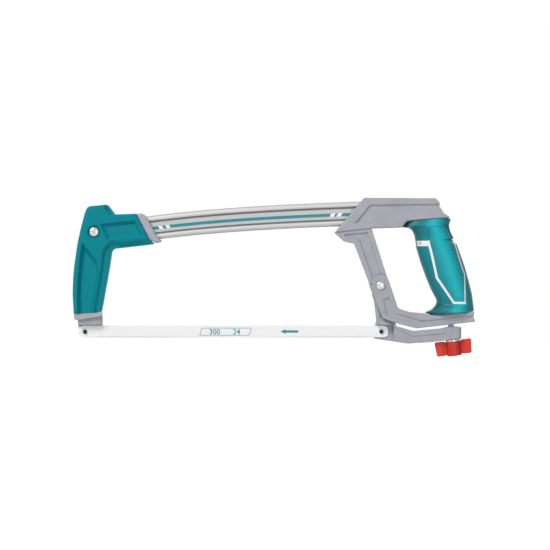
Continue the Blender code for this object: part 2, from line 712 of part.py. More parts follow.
def trim_plates(name, grow):
    """The trim's side view through the whole grip: front band, stripe and back band."""
    reach = 25.0
    stripe = [(-20.6, 24.6), (-19.3, 26.0), (-15.7, 11.6), (-10.9, -10.0), (6.3, -35.1), (18.2, -35.1)]
    stripe += [(17.8, -3.9), (13.5, 9.6), (8.6, 24.6), (7.0, 27.5)]
    front = outline(((0, 0), [(-40.0, 22.2), (-19.4, 22.2), (-19.4, 27.4), (-40.0, 27.4)]))
    back = outline(((0, 0), [(4.0, 29.4), (8.0, 24.4), (20.0, 24.4), (20.0, 29.4)]))
    stripe = ribbon([Vector(p) for p in stripe], TRIM_WIDTH + 2 * grow)
    trim = plate(name, stripe, -reach, reach)
    for part, shape in (("front", front), ("back", back)):
        joined(trim, plate(f"{name}_{part}", grown(shape, grow), -reach, reach))
    return trim


def make_grip():
    """The soft teal sleeve over the core, grooved for its trim, and the white trim itself."""
    sleeve = grip_solid("grip_sleeve", 0, TEAL_RUBBER)
    groove = trim_plates("trim_groove", GAP)
    cut(groove, grip_solid("groove_floor", GRIP_SKIN + GAP))
    half = CORE_WIDTH / 2 + GAP
    cut(sleeve, groove, plate("core_room", grown(core_shape(), GAP), -half, half))
    trim = trim_plates("grip_trim", 0)
    trim.data.materials.append(WHITE_TRIM)
    combined(trim, "INTERSECT", [grip_solid("trim_outside", 0)])
    cut(trim, grip_solid("trim_inside", GRIP_SKIN))
    return sleeve, trim


# ---------------------------------------------------------------- lever, pivot, knob


def make_lever():
    """The tension lever: an arm in the fork, and a wide foot with blade seat and screw slot."""
    arm_top = [(-9.5, 0.8), (-5.0, 4.6)]
    arm_top += [(LEVER_BOSS * math.sin(a), LEVER_BOSS * math.cos(a)) for a in (-0.3, 0.2, 0.7, 1.2, 1.7)]
    arm_low = [(6.0, 26.0), (13.8, 9.3), (16.0, 2.0), (-5.0, 2.0), (-5.3, 12.6), (-7.6, 31.5)]
    arm = outline((PIVOT, arm_top), (REAR_PIN, arm_low), (PIVOT, [(-8.2, -10.4)]))
    lever = plate("tension_lever", arm, -LEVER_BLADE / 2, LEVER_BLADE / 2, CAST_GREY)
    seat = KNOB_SEAT - REAR_PIN
    pad_front, pad_rear = ((x, seat.y + (x - seat.x) * math.tan(KNOB_TILT)) for x in (50.5, 80.5))
    foot = [(-5.8, 9.6), (-6.2, 6.3), (-7.4, -5.8), (13.0, -9.7), (26.3, -12.0, 6.0), pad_front, pad_rear]
    foot += [(80.5, 3.8, 2.0), (68.6, 5.2), (60.4, 3.1), (33.0, 0.6), (14.0, 6.0), (1.5, 10.4)]
    joined(lever, plate("lever_foot", outline((REAR_PIN, foot)), -LEVER_WIDTH / 2, LEVER_WIDTH / 2))
    recess = outline((REAR_PIN, [(-20.0, 7.3), (12.0, 7.3), (13.7, -20.0), (-20.0, -20.0)]))
    arm_to_seat = KNOB_SEAT - PIVOT
    swing = Vector((-arm_to_seat.y, arm_to_seat.x * math.tan(KNOB_TILT))) * math.sin(LEVER_TURN)
    wide = SCREW_RADIUS + 2 * FIT
    reach = wide + swing.x + swing.y
    slot = [(-wide, -wide, 2.4), (reach, -wide, 2.4), (reach, wide, 2.4), (-wide, wide, 2.4)]
    slot = slab("lever_screw_slot", outline(((0, 0), slot)), -5, 25)
    slot.location = (KNOB_SEAT.x * MM, 0, KNOB_SEAT.y * MM)
    slot.rotation_euler.y = -KNOB_TILT
    return cut(
        lever,
        plate("blade_recess", recess, -LEVER_WIDTH, SEAT),
        rod("lever_bore", PIVOT, -HEAD_WIDTH, HEAD_WIDTH, PIVOT_RADIUS + RUN),
        pin_hole("lever_pin_hole", REAR_PIN),
        slot,
    )


def make_pivot():
    """The sleeve nut that the lever turns on, and the domed screw in its other end."""
    face = FRAME_WIDTH / 2 + GAP
    head, dome = PIVOT_HEAD_RADIUS, PIVOT_HEAD_HEIGHT
    long = 2 * face
    domed = [(0, dome), (head * 0.45, dome * 0.88), (head * 0.8, dome * 0.55), (head, 0.3), (head, 0)]
    barrel = [(PIVOT_RADIUS, 0), (PIVOT_RADIUS, GAP - long), (0, GAP - long)]
    nut = across(turned("pivot_nut", domed + barrel, BRIGHT_STEEL), PIVOT, face, faces_left=False)
    shank = [(PIVOT_BORE, 0), (PIVOT_BORE, -PIVOT_BOLT_LENGTH), (0, -PIVOT_BOLT_LENGTH)]
    bolt = across(turned("pivot_bolt", domed + shank, BRIGHT_STEEL), PIVOT, -face)
    thread_end = -face + PIVOT_BOLT_LENGTH + GAP
    cut(nut, rod("pivot_thread", PIVOT, -face - 1, thread_end, PIVOT_BORE + FIT))
    slot = moved(rectangle(2 * head, DRIVER_SLOT), PIVOT)
    cut(nut, plate("nut_driver_slot", slot, face + dome - DRIVER_SLOT, face + dome + 1))
    return bolt, nut


def make_knob():
    """The red wing knob with a hexagon pocket for its screw's head."""
    top = -GAP - WASHER_THICKNESS - GAP
    bottom = top - HUB_HEIGHT
    hub = [(0, top), (HUB_RADIUS, top), (HUB_RADIUS, bottom + 1.2), (HUB_RADIUS - 1.2, bottom), (0, bottom)]
    knob = on_knob_axis(turned("wing_knob", hub, RED_PLASTIC))
    wing_top = -0.9
    half = WING_THICKNESS / 2
    tip, low = WING_RADIUS, wing_top - HUB_HEIGHT - 0.3
    wing = [(5.0, wing_top - 3.0), (9.0, wing_top), (tip, wing_top, 2.0), (tip - 1.4, low, 3.0)]
    wing += [(10.0, low, 2.0), (5.0, low + 1.5)]
    for name, side in (("wing_front", -1), ("wing_rear", 1)):
        shape = [Vector((x * side, z)) for x, z in outline(((0, 0), wing))]
        joined(knob, on_knob_axis_flat(plate(name, shape, -half, half)))
    pocket = bottom + SCREW_HEAD_HEIGHT + GAP
    hole = slab("screw_head_room", hexagon(SCREW_HEAD_ACROSS + 2 * GAP), bottom - 1, pocket)
    bore = SCREW_RADIUS + FIT
    return cut(
        knob,
        on_knob_axis_flat(hole),
        knob_axis_hole("knob_bore", bore, 5, bottom - 5),
    ), bottom


def on_knob_axis_flat(piece):
    """Tilts a shape made about the origin, in its own axes, onto the knob's axis."""
    bpy.context.view_layer.update()
    piece.data.transform(piece.matrix_world)
    piece.matrix_basis.identity()
    piece.rotation_euler = (0, 0, 0)
    return on_knob_axis(piece)


def make_tension_screw(bottom):
    """The hexagon-headed screw fast in the knob, up through washer, lever and square nut."""
    top = nut_place() + SQUARE_NUT_HEIGHT / 2 + KNOB_TRAVEL
    head = bottom + SCREW_HEAD_HEIGHT
    radius = SCREW_RADIUS
    shank = [(0, top), (radius - 0.6, top), (radius, top - 0.6), (radius, head - 1), (0, head - 1)]
    screw = on_knob_axis(turned("tension_screw", shank, BRIGHT_STEEL))
    hexagonal = slab("screw_head", hexagon(SCREW_HEAD_ACROSS), bottom + 0.4, head)
    return joined(screw, on_knob_axis_flat(hexagonal))


def make_washer():
    """The steel washer between the knob and the lever."""
    high, low, radius = -GAP, -GAP - WASHER_THICKNESS, WASHER_RADIUS
    washer = on_knob_axis(
        turned("knob_washer", [(0, high), (radius, high), (radius, low), (0, low)], BRIGHT_STEEL)
    )
    bore = SCREW_RADIUS + 2 * FIT
    return cut(washer, knob_axis_hole("washer_hole", bore, 1, low - 1))


def make_square_nut():
    """The square nut that the bar holds fast."""
    low = nut_place() - SQUARE_NUT_HEIGHT / 2
    high = low + SQUARE_NUT_HEIGHT
    nut = slab("tension_nut", rectangle(SQUARE_NUT, SQUARE_NUT), low, high, BRIGHT_STEEL)
    thread = knob_axis_hole("square_nut_thread", SCREW_RADIUS + FIT, high + 5, low - 5)
    return cut(on_knob_axis_flat(nut), thread)


def carried(name, at, *pieces):
    """Hangs pieces from an empty on their joint's axis, without moving them."""
    axis = bpy.data.objects.new(name, None)
    PARTS.objects.link(axis)
    axis.location = (at[0] * MM, at[1] * MM, at[2] * MM)
    bpy.context.view_layer.update()
    for piece in pieces:
        piece.parent = axis
        piece.matrix_parent_inverse = axis.matrix_world.inverted()


def smooth_round_pieces():
    for piece in PARTS.objects:
        if piece.type == "MESH":
            piece.data.shade_smooth()
            piece.data.set_sharp_from_angle(angle=math.radians(30))


blade = make_blade()
make_tube()
make_front_arm()
make_front_cover("front_cover_left", -1)
make_front_cover("front_cover_right", 1)
make_front_bolt()
make_front_nut()
blade_pin("front_blade_pin", FRONT_PIN)
make_handle()
make_set_screws()
make_grip()
make_square_nut()
lever = make_lever()
lever_pin = blade_pin("rear_blade_pin", REAR_PIN)
make_pivot()
washer = make_washer()
knob, knob_bottom = make_knob()
screw = make_tension_screw(knob_bottom)
carried("blade_axis", (FRONT_PIN.x - BLADE_OVERHANG, BLADE_THICKNESS / 2, FRONT_PIN.y), blade)
carried("lever_axis", (PIVOT.x, 0, PIVOT.y), lever, lever_pin)
carried("knob_axis", (KNOB_SEAT.x, 0, KNOB_SEAT.y), washer, knob, screw)
smooth_round_pieces()
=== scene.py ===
"""A hacksaw: an oval aluminium tube joins a covered front arm to a cast D-shaped handle.

The saw's shapes are given in millimetres and become metres as each mesh is made. Side views
are (x, z) points in the saw's own plane; y runs across it and its left side faces -Y.
"""

import json
import math

import bmesh
import bpy
import numpy as np
from mathutils import Matrix, Vector
from mathutils.geometry import delaunay_2d_cdt


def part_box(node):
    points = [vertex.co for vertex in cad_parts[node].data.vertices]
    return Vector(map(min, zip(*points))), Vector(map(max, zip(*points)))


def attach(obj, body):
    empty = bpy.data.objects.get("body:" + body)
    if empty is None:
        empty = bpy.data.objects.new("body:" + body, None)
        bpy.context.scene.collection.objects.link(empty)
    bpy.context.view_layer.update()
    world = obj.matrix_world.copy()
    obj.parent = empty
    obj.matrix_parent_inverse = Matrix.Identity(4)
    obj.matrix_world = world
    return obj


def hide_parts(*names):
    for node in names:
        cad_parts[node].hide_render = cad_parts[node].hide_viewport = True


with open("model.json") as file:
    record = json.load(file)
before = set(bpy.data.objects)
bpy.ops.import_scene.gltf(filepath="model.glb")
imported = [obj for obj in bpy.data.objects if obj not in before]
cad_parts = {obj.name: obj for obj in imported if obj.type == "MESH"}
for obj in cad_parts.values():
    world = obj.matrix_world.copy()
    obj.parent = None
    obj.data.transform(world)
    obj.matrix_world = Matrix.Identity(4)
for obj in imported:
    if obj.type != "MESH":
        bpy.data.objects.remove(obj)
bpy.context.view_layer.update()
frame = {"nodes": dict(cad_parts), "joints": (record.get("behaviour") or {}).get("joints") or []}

# ------------------------------------------------------------------ Frame tube
# The back of the saw is a drawn aluminium tube, flat-sided between two round lobes and bent
# once in the middle. Its front end is clamped in the arm and its rear end in the head, and a
# teal line with slanted white breaks is printed along both sides.

MM = 0.001


def centre_of(node):
    """The middle of a piece in the side view."""
    low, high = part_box(node)
    return Vector(((low.x + high.x) / 2, (low.z + high.z) / 2)) / MM


FRONT_PIN = centre_of("front_blade_pin")
REAR_PIN = centre_of("rear_blade_pin")
COLLAR = FRONT_PIN + Vector((62.8, 104.3))  # where the tube leaves the arm
HEAD = Vector((0, 55))  # the tube's height in the head, above the middle of the grip
TUBE_MOUTH = HEAD + Vector((-88.1, 0))  # where the tube enters the head
TUBE_BEND = Vector((COLLAR.x + 0.363 * (TUBE_MOUTH.x - COLLAR.x), HEAD.y - 4.3))
TUBE_IN_ARM = 61
TUBE_IN_HEAD = 38
TUBE_HALF = Vector((6.5, 12.15))  # half its width and height
LOBE = 3.4  # the radius of the tube's corners


def in_scene(name, data):
    """A new object in the scene."""
    made = bpy.data.objects.new(name, data)
    bpy.context.scene.collection.objects.link(made)
    return made


def new_object(name, mesh, finish):
    """Adds an object with one material and shades it smooth up to its edges."""
    made = in_scene(name, mesh)
    mesh.materials.clear()
    mesh.materials.append(finish)
    mesh.shade_smooth()
    mesh.set_sharp_from_angle(angle=math.radians(32))
    return made


def lofted(name, finish, *skins, capped=True, closed=False):
    """Skins in one object; each is laid over its rings of points, given in millimetres."""
    points, faces = [], []
    for rings in skins:
        size, start = len(rings[0]), len(points)
        points += [Vector(p) * MM for ring in rings for p in ring]
        end = len(points) - size
        for near in range(start, end + size if closed else end, size):
            far = near + size if near < end else start
            faces += [(near + k, near + (k + 1) % size, far + (k + 1) % size, far + k) for k in range(size)]
        if capped:
            faces += [tuple(range(start, start + size)), tuple(range(end, end + size))]
    mesh = bpy.data.meshes.new(name)
    mesh.from_pydata(points, [], faces)
    shape = bmesh.new()
    shape.from_mesh(mesh)
    bmesh.ops.remove_doubles(shape, verts=shape.verts, dist=1e-7)
    bmesh.ops.recalc_face_normals(shape, faces=shape.faces)
    shape.to_mesh(mesh)
    shape.free()
    return new_object(name, mesh, finish)


def add(tree, kind, inputs=(), **settings):
    """Adds a shader node; an input is a value or another node's socket."""
    made = tree.nodes.new("ShaderNode" + kind)
    for key, value in settings.items():
        setattr(made, key, value)
    for socket, value in dict(inputs).items():
        if isinstance(value, bpy.types.NodeSocket):
            tree.links.new(value, made.inputs[socket])
        else:
            made.inputs[socket].default_value = value
    return made


def maths(tree, operation, *values):
    """The result of a Math node; each value is a number or another node's socket."""
    return add(tree, "Math", enumerate(values), operation=operation).outputs[0]


def surface_group(name, *inputs):
    """An empty node group for a surface, and its input and output nodes."""
    group = bpy.data.node_groups.new(name, "ShaderNodeTree")
    shared = (("Color", "Color", (1, 1, 1, 1)), ("Contrast", "Float", 0.1), ("Roughness", "Float", 0.5))
    for socket, kind, value in (*inputs, *shared):
        made = group.interface.new_socket(socket, in_out="INPUT", socket_type="NodeSocket" + kind)
        made.default_value = value
    for socket, kind in (("Color", "Color"), ("Roughness", "Float"), ("Height", "Float")):
        group.interface.new_socket(socket, in_out="OUTPUT", socket_type="NodeSocket" + kind)
    return group, group.nodes.new("NodeGroupInput"), group.nodes.new("NodeGroupOutput")


def varied(group, given, out, pattern, height):
    """Lets a pattern around 0 vary a group's colour and gloss, and passes its height on."""
    change = maths(group, "MULTIPLY", pattern, given.outputs["Contrast"])
    value = maths(group, "ADD", change, 1.0)
    tint = add(group, "HueSaturation", {"Value": value, "Color": given.outputs["Color"]})
    group.links.new(tint.outputs["Color"], out.inputs["Color"])
    group.links.new(maths(group, "ADD", change, given.outputs["Roughness"]), out.inputs["Roughness"])
    group.links.new(height, out.inputs["Height"])
    return group


def drawn_lines_group():
    """Fine lines along x, as drawing or grinding leaves on metal."""
    group, given, out = surface_group(
        "Drawn lines", ("Place", "Vector", (0, 0, 0)), ("Lines", "Float", 4000.0))
    drawn = add(group, "VectorMath", {0: given.outputs["Place"], 1: (0.004, 1, 1)}, operation="MULTIPLY")
    lines = add(group, "TexNoise", {
        "Vector": drawn.outputs[0], "Scale": given.outputs["Lines"], "Detail": 3.0, "Roughness": 0.6})
    pattern = maths(group, "SUBTRACT", lines.outputs["Fac"], 0.5)
    return varied(group, given, out, pattern, lines.outputs["Fac"])


def new_material(name):
    """A new material, its node tree and its shader."""
    made = bpy.data.materials.new(name)
    made.use_nodes = True
    return made, made.node_tree, made.node_tree.nodes["Principled BSDF"]


def surfaced(tree, group, inputs, depth, strength):
    """Gives a shader its colour, gloss and bumps from a surface group."""
    surface = add(tree, "Group", inputs, node_tree=group)
    height = surface.outputs["Height"]
    bump = add(tree, "Bump", {"Height": height, "Distance": depth * MM, "Strength": strength})
    shader = tree.nodes["Principled BSDF"]
    tree.links.new(surface.outputs["Color"], shader.inputs["Base Color"])
    tree.links.new(surface.outputs["Roughness"], shader.inputs["Roughness"])
    tree.links.new(bump.outputs["Normal"], shader.inputs["Normal"])


def toned(tree, tone):
    """Scales the colour that a shader already has."""
    base = tree.nodes["Principled BSDF"].inputs["Base Color"]
    tint = add(tree, "HueSaturation", {"Value": tone, "Color": base.links[0].from_socket})
    tree.links.new(tint.outputs["Color"], base)


DRAWN_LINES = drawn_lines_group()
TUBE_PAINTED_SHADE = [(0.30, 0.84), (0.385, 0.80), (0.43, 0.55), (0.52, 0.5), (0.58, 0.95)]
TUBE_PAINTED_SHADE += [(0.66, 1.0), (0.88, 0.98), (0.96, 0.6)]  # painted shade: darker in the grooves and at the edges, from the tube's middle to its edges
PAINTED_SHADE_REACH = 12.5  # how far from the tube's middle they run


def bare_metal(name, colour, roughness, lines, contrast, depth, metallic=1.0, along_tube=False):
    """A metal whose colour, gloss and surface follow fine lines; along the tube its colour also gets painted
    shade.
    """
    made, tree, shader = new_material(name)
    shader.inputs["Metallic"].default_value = metallic
    coordinates = add(tree, "TexCoord")
    place = coordinates.outputs["Object"]
    if along_tube:  # the tube's own map runs along its bend
        mapped = add(tree, "SeparateXYZ", {0: coordinates.outputs["UV"]}).outputs
        across = add(tree, "SeparateXYZ", {0: place}).outputs["Y"]
        place = add(tree, "CombineXYZ", {"X": mapped["X"], "Y": across, "Z": mapped["Y"]}).outputs[0]
    surfaced(tree, DRAWN_LINES, {
        "Place": place, "Color": (*colour, 1), "Lines": lines, "Contrast": contrast,
        "Roughness": roughness}, depth, 0.5)
    if along_tube:  # painted shade: the colour is darkened in the tube's grooves and along its edges
        height = maths(tree, "ABSOLUTE", mapped["Y"])
        skin = add(tree, "ValToRGB", {"Fac": maths(tree, "DIVIDE", height, PAINTED_SHADE_REACH * MM)})
        for at, tone in TUBE_PAINTED_SHADE:
            skin.color_ramp.elements.new(at).color = (tone, tone, tone, 1)
        for spare in (0, -1):
            skin.color_ramp.elements.remove(skin.color_ramp.elements[spare])
        toned(tree, skin.outputs[0])
    return made


# The tube's finish has painted shade in its grooves and along its edges.
tube_metal = bare_metal(
    "satin aluminium with painted shade", (0.60, 0.595, 0.595), roughness=0.5, lines=2500.0, contrast=0.05, depth=0.004,
    metallic=0.25, along_tube=True)


def tube_line(steps=60):
    """Points along the tube's centre, and its direction at each."""
    points, ways = [], []
    for k in range(steps + 1):
        t = k / steps
        points.append(COLLAR * (1 - t) ** 2 + TUBE_BEND * 2 * t * (1 - t) + TUBE_MOUTH * t * t)
        ways.append(((TUBE_BEND - COLLAR) * (1 - t) + (TUBE_MOUTH - TUBE_BEND) * t).normalized())
    points = [COLLAR - ways[0] * TUBE_IN_ARM, *points, TUBE_MOUTH + ways[-1] * TUBE_IN_HEAD]
    return points, [ways[0], *ways, ways[-1]]


def swept(name, section, finish=None, bore=()):
    """A section of (y, height) points carried along the tube's centre, solid or with a bore."""
    rings = []
    for loop in filter(None, (section, bore)):
        side = []
        for centre, way in zip(*tube_line()):
            up = Vector((-way.y, way.x))
            side.append([(centre.x + up.x * h, y, centre.y + up.y * h) for y, h in loop])
        rings += side[::-1] if rings else side  # out along the outside and back inside
    return lofted(name, finish, rings, capped=not bore, closed=bool(bore))


def oval(grow=0.0):
    """The plain outer oval of the tube, as its sockets are made for it."""
    radius = LOBE + grow
    flat, tall = TUBE_HALF.x - LOBE, TUBE_HALF.y - LOBE
    loop = []
    for side, top, start in ((1, 1, 0), (-1, 1, 90), (-1, -1, 180), (1, -1, 270)):
        for k in range(9):
            angle = math.radians(start + k * 90 / 8)
            loop.append((side * flat + radius * math.cos(angle), top * tall + radius * math.sin(angle)))
    return loop


def lobed():
    """The drawn section: two round lobes and a flat band set in between two grooves."""
    middle = TUBE_HALF - Vector((LOBE, LOBE))
    angles = np.radians(range(0, 91, 10))
    quarter = [(middle.x + LOBE * math.sin(a), middle.y + LOBE * math.cos(a)) for a in angles]
    quarter += [(6.42, 7.75), (6.2, 7.3), (5.7, 6.85), (5.0, 6.5), (4.4, 6.2), (4.1, 5.85), (4.3, 5.5)]
    quarter += [(4.9, 5.3), (5.35, 5.2), (5.55, 5.0), (5.55, 2.6)]
    right = quarter + [(y, -h) for y, h in quarter[::-1]]
    return right + [(-y, h) for y, h in right[::-1]]


def mapped_along(tube):
    """Lays the tube's map out: along its bend, and up from its centre."""
    points, _ = tube_line()
    xs, zs = [p.x for p in points], [p.y for p in points]
    places = tube.data.uv_layers.new(name="along").data
    for loop, place in zip(tube.data.loops, places):
        at = tube.data.vertices[loop.vertex_index].co / MM
        place.uv = (at.x * MM, (at.z - np.interp(at.x, xs, zs)) * MM)


def finished(piece, body, slot, *nodes):
    """Hangs a piece on its body, in place of the CAD nodes that it stands for."""
    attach(piece, body)
    if nodes:
        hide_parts(*nodes)
    return piece


frame_tube = swept("frame_tube_drawn", lobed(), tube_metal, bore=[(y * 0.6, h * 0.86) for y, h in lobed()])
mapped_along(frame_tube)
finished(frame_tube, "saw_frame", "tube_aluminium", "frame_tube")

STRIPE = (-2.2, 0.95)  # the printed line's lower and upper edges, from the tube's centre
STRIPE_FACE = 5.55
INK = 0.03  # thickness of a printed film
BREAKS_FRONT = [(11.8, 15.7), (19.0, 22.7)]  # the white breaks, from the collar
BREAKS_REAR = [(-29.7, -25.3), (-22.7, -18.2)]  # and from the head
BREAK_LEAN = 0.6


def ink(name, colour):
    """Smooth print whose tone varies a little."""
    made, tree, shader = new_material(name)
    shader.inputs["Roughness"].default_value = 0.42
    place = add(tree, "TexCoord").outputs["Object"]
    cloud = add(tree, "TexNoise", {"Vector": place, "Scale": 220.0, "Detail": 2.0})
    tone = add(tree, "MapRange", {"Value": cloud.outputs["Fac"], "To Min": 0.94, "To Max": 1.06})
    tint = add(tree, "HueSaturation", {"Value": tone.outputs[0], "Color": (*colour, 1)})
    tree.links.new(tint.outputs["Color"], shader.inputs["Base Color"])
    return made


teal_ink = ink("teal print", (0.010, 0.24, 0.275))
white_ink = ink("white print", (0.90, 0.92, 0.92))


def printed_band(name, finish, bands):
    """Films on both sides of the tube, each from one x to another with slanted ends."""
    points, ways = tube_line()
    xs, zs = [p.x for p in points], [p.y for p in points]
    slopes = [w.y / w.x for w in ways]
    skins = []
    for side in (-1, 1):
        for (start, lean_1), (end, lean_2) in bands:
            steps = max(1, int((end - start) / 4))
            rings = []
            for k in range(steps + 1):
                ring = []
                for height in STRIPE:
                    low, high = start + lean_1 * height, end + lean_2 * height
                    x = low + (high - low) * k / steps
                    z = np.interp(x, xs, zs) + height * math.hypot(1, np.interp(x, xs, slopes))
                    ring += [(x, side * depth, z) for depth in (STRIPE_FACE - 0.2, STRIPE_FACE + INK)]
                rings.append([ring[0], ring[1], ring[3], ring[2]])
            skins.append(rings)
    finished(lofted(name, finish, *skins), "saw_frame", "tube_aluminium")


ends = [(COLLAR.x - 7, 0)]
whites = []
for origin, breaks, lean in (
    (COLLAR.x, BREAKS_FRONT, -BREAK_LEAN),
    (TUBE_MOUTH.x, BREAKS_REAR, BREAK_LEAN),
):
    for start, end in breaks:
        ends += [(origin + start, lean), (origin + end, lean)]
        whites.append(((origin + start, lean), (origin + end, lean)))
ends.append((TUBE_MOUTH.x + 4, 0))
printed_band("tube_stripe", teal_ink, list(zip(ends[::2], ends[1::2])))
printed_band("tube_stripe_breaks", white_ink, whites)

# ------------------------------------------------------------------ Front arm
# One grey powder-coated aluminium casting: a socket for the tube whose slanted lip shows past
# the covers, a post, a flange that the covers stand on, and the block that the blade lies on.


def corner(points, at, steps):
    """One corner of an outline, as an arc where its point gives a radius."""
    here = Vector(points[at][:2])
    if len(points[at]) < 3:
        return [here]
    radius = points[at][2]
    to_last = (Vector(points[at - 1][:2]) - here).normalized()
    to_next = (Vector(points[(at + 1) % len(points)][:2]) - here).normalized()
    half = to_last.angle(to_next) / 2
    centre = here + (to_last + to_next).normalized() * radius / math.sin(half)
    reach = radius / math.tan(half)
    first, last = here + to_last * reach - centre, here + to_next * reach - centre
    return [centre + first.lerp(last, k / steps).normalized() * radius for k in range(steps + 1)]


def outline(*groups, steps=8):
    """A closed outline from groups of (reference point, points measured from it)."""
    points = [(at[0] + x, at[1] + z, *radius) for at, group in groups for x, z, *radius in group]
    return [p for at in range(len(points)) for p in corner(points, at, steps)]


def right_of(way):
    """The direction at a right angle to another, on its right."""
    return Vector((way.y, -way.x))


def grown(shape, by):
    """An outline moved outwards, or inwards if by is negative, with mitred corners."""
    turns = sum(a.cross(b) for a, b in zip(shape, shape[1:] + shape[:1]))
    side = math.copysign(1, turns)
    result = []
    for last, here, after in zip(shape[-1:] + shape[:-1], shape, shape[1:] + shape[:1]):
        first, second = (here - last).normalized(), (after - here).normalized()
        out_1, out_2 = right_of(first) * side, right_of(second) * side
        result.append(here + (out_1 + out_2) / max(0.3, 1 + out_1.dot(out_2)) * by)
    return result


def distance(points, line, closed=True):
    """How far each point lies from a line."""
    ends = np.array([tuple(p) for p in line])
    starts, stops = (ends, np.roll(ends, -1, axis=0)) if closed else (ends[:-1], ends[1:])
    nearest = np.full(len(points), 1e9)
    for a, b in zip(starts, stops):
        along = b - a
        share = np.clip(((points - a) @ along) / max(along @ along, 1e-12), 0, 1)
        nearest = np.minimum(nearest, np.hypot(*(points - a - share[:, None] * along).T))
    return nearest


def inside(points, shape):
    """Which points lie inside a closed outline."""
    found = np.zeros(len(points), bool)
    for a, b in zip(shape, shape[1:] + shape[:1]):
        if a.y != b.y:
            crosses = (points[:, 1] < a.y) != (points[:, 1] < b.y)
            found ^= crosses & (points[:, 0] < a.x + (points[:, 1] - a.y) * (b.x - a.x) / (b.y - a.y))
    return found


def rounding(*rims, radius=1.0):
    """A relief feature: the face rolls over into its sides."""
    steps = [math.radians(a) for a in (0, 18, 36, 54, 72, 90)]
    profile = [(radius * (1 - math.cos(a)), radius * (1 - math.sin(a))) for a in steps]
    lines = [(grown(rim, -reach), True) for rim in rims for reach, _ in profile[1:]]

    def sink(points):
        depth = np.min([distance(points, rim) for rim in rims], axis=0)
        return np.interp(depth, *zip(*profile))

    return lines, sink


def pocket(shape, depth, wall, rise=0.0):
    """A relief feature: an area sunk to a depth, its walls sloping over a width.

    Its floor may rise towards +x by a share of its depth for each millimetre.
    """
    profile = ((0, 0), (0.06, 0.02), (0.18, 0.14), (0.82, 0.86), (0.94, 0.98), (1, 1))
    lines = [(grown(shape, -wall * share), True) for share, _ in profile]
    start = min(p.x for p in shape)

    def sink(points):
        reach = distance(points, shape) / wall * inside(points, shape)
        floor = depth * np.clip(1 - rise * (points[:, 0] - start), 0.1, 1)
        return floor * np.interp(reach, *zip(*profile))

    return lines, sink


def shoulder(path, profile):
    """A relief feature: a fall towards part of the rim, as (distance, depth) from that path."""
    lines = []
    for reach, _ in profile:
        for side in (-reach, reach):
            moved = [
                here + right_of((after - last).normalized()) * side
                for last, here, after in zip([path[0], *path], path, [*path[1:], path[-1]])
            ]
            lines.append((moved, False))

    def sink(points):
        return np.interp(distance(points, path, closed=False), *zip(*profile))

    return lines, sink


def relief(name, rims, left, right, finish, left_features=(), right_features=None, grid=2.5):
    """A cast or moulded piece between y = left and y = right with shaped faces.

    The first rim is its outline and any others are holes. Each feature is the lines that it
    needs in the mesh and a function that says how far it sinks the face. The right face is
    like the left one unless it has its own features.
    """
    right_features = left_features if right_features is None else right_features
    points, edges = [], []
    lines = [(rim, True) for rim in rims]
    for feature_lines, _ in (*left_features, *right_features):
        lines += feature_lines
    for line, closed in lines:
        first, count = len(points), len(line)
        points += line
        edges += [(first + k, first + (k + 1) % count) for k in range(count if closed else count - 1)]
    low = np.min([tuple(p) for p in rims[0]], axis=0)
    high = np.max([tuple(p) for p in rims[0]], axis=0)
    xs, zs = np.arange(low[0], high[0], grid), np.arange(low[1], high[1], grid)
    for row, z in enumerate(zs):
        points += [Vector((x + (row % 2) * grid / 2, z)) for x in xs]
    flat, _, triangles, *_ = delaunay_2d_cdt([Vector(p) for p in points], edges, [], 0, 1e-4)
    flat = np.array([tuple(p) for p in flat])
    triangles = np.array(triangles)
    corners = flat[triangles]
    middles = corners.mean(axis=1)
    kept = inside(middles, rims[0])
    for hole in rims[1:]:
        kept &= ~inside(middles, hole)
    one, two = corners[:, 1] - corners[:, 0], corners[:, 2] - corners[:, 0]
    area = one[:, 0] * two[:, 1] - one[:, 1] * two[:, 0]
    kept &= np.abs(area) > 1e-7
    triangles, area = triangles[kept], area[kept]
    triangles[area < 0] = triangles[area < 0][:, ::-1]
    used, triangles = np.unique(triangles, return_inverse=True)
    flat, triangles = flat[used], triangles.reshape(-1, 3)
    sinks = [
        np.max([sink(flat) for _, sink in features], axis=0) if features else np.zeros(len(flat))
        for features in (left_features, right_features)
    ]
    count = len(flat)
    verts = np.empty((2 * count, 3))
    verts[:count] = np.column_stack([flat[:, 0], left + sinks[0], flat[:, 1]])
    verts[count:] = np.column_stack([flat[:, 0], right - sinks[1], flat[:, 1]])
    sides = {}
    for a, b, c in triangles.tolist():
        for edge in ((a, b), (b, c), (c, a)):
            if edge[::-1] in sides:
                del sides[edge[::-1]]
            else:
                sides[edge] = (edge[1], edge[0], edge[0] + count, edge[1] + count)
    faces = triangles.tolist() + (triangles[:, ::-1] + count).tolist() + list(sides.values())
    mesh = bpy.data.meshes.new(name)
    mesh.from_pydata((verts * MM).tolist(), [], faces)
    return new_object(name, mesh, finish)


def plain_plate(name, shape, left, right, finish=None):
    """An outline given an even thickness, for plain pieces and for cutters."""
    return relief(name, [shape], left, right, finish, grid=1000)


def laid_flat(piece, place=Matrix()):
    """Turns a plate so that its own plane is level, and then puts it in place."""
    piece.data.transform(place @ Matrix.Rotation(-math.pi / 2, 4, "X"))
    return piece


def circle(at, radius, sides=48):
    """Points evenly spaced round a centre."""
    angles = np.linspace(0, 2 * math.pi, sides + 1)[:-1]
    return [at + Vector((math.cos(a), math.sin(a))) * radius for a in angles]


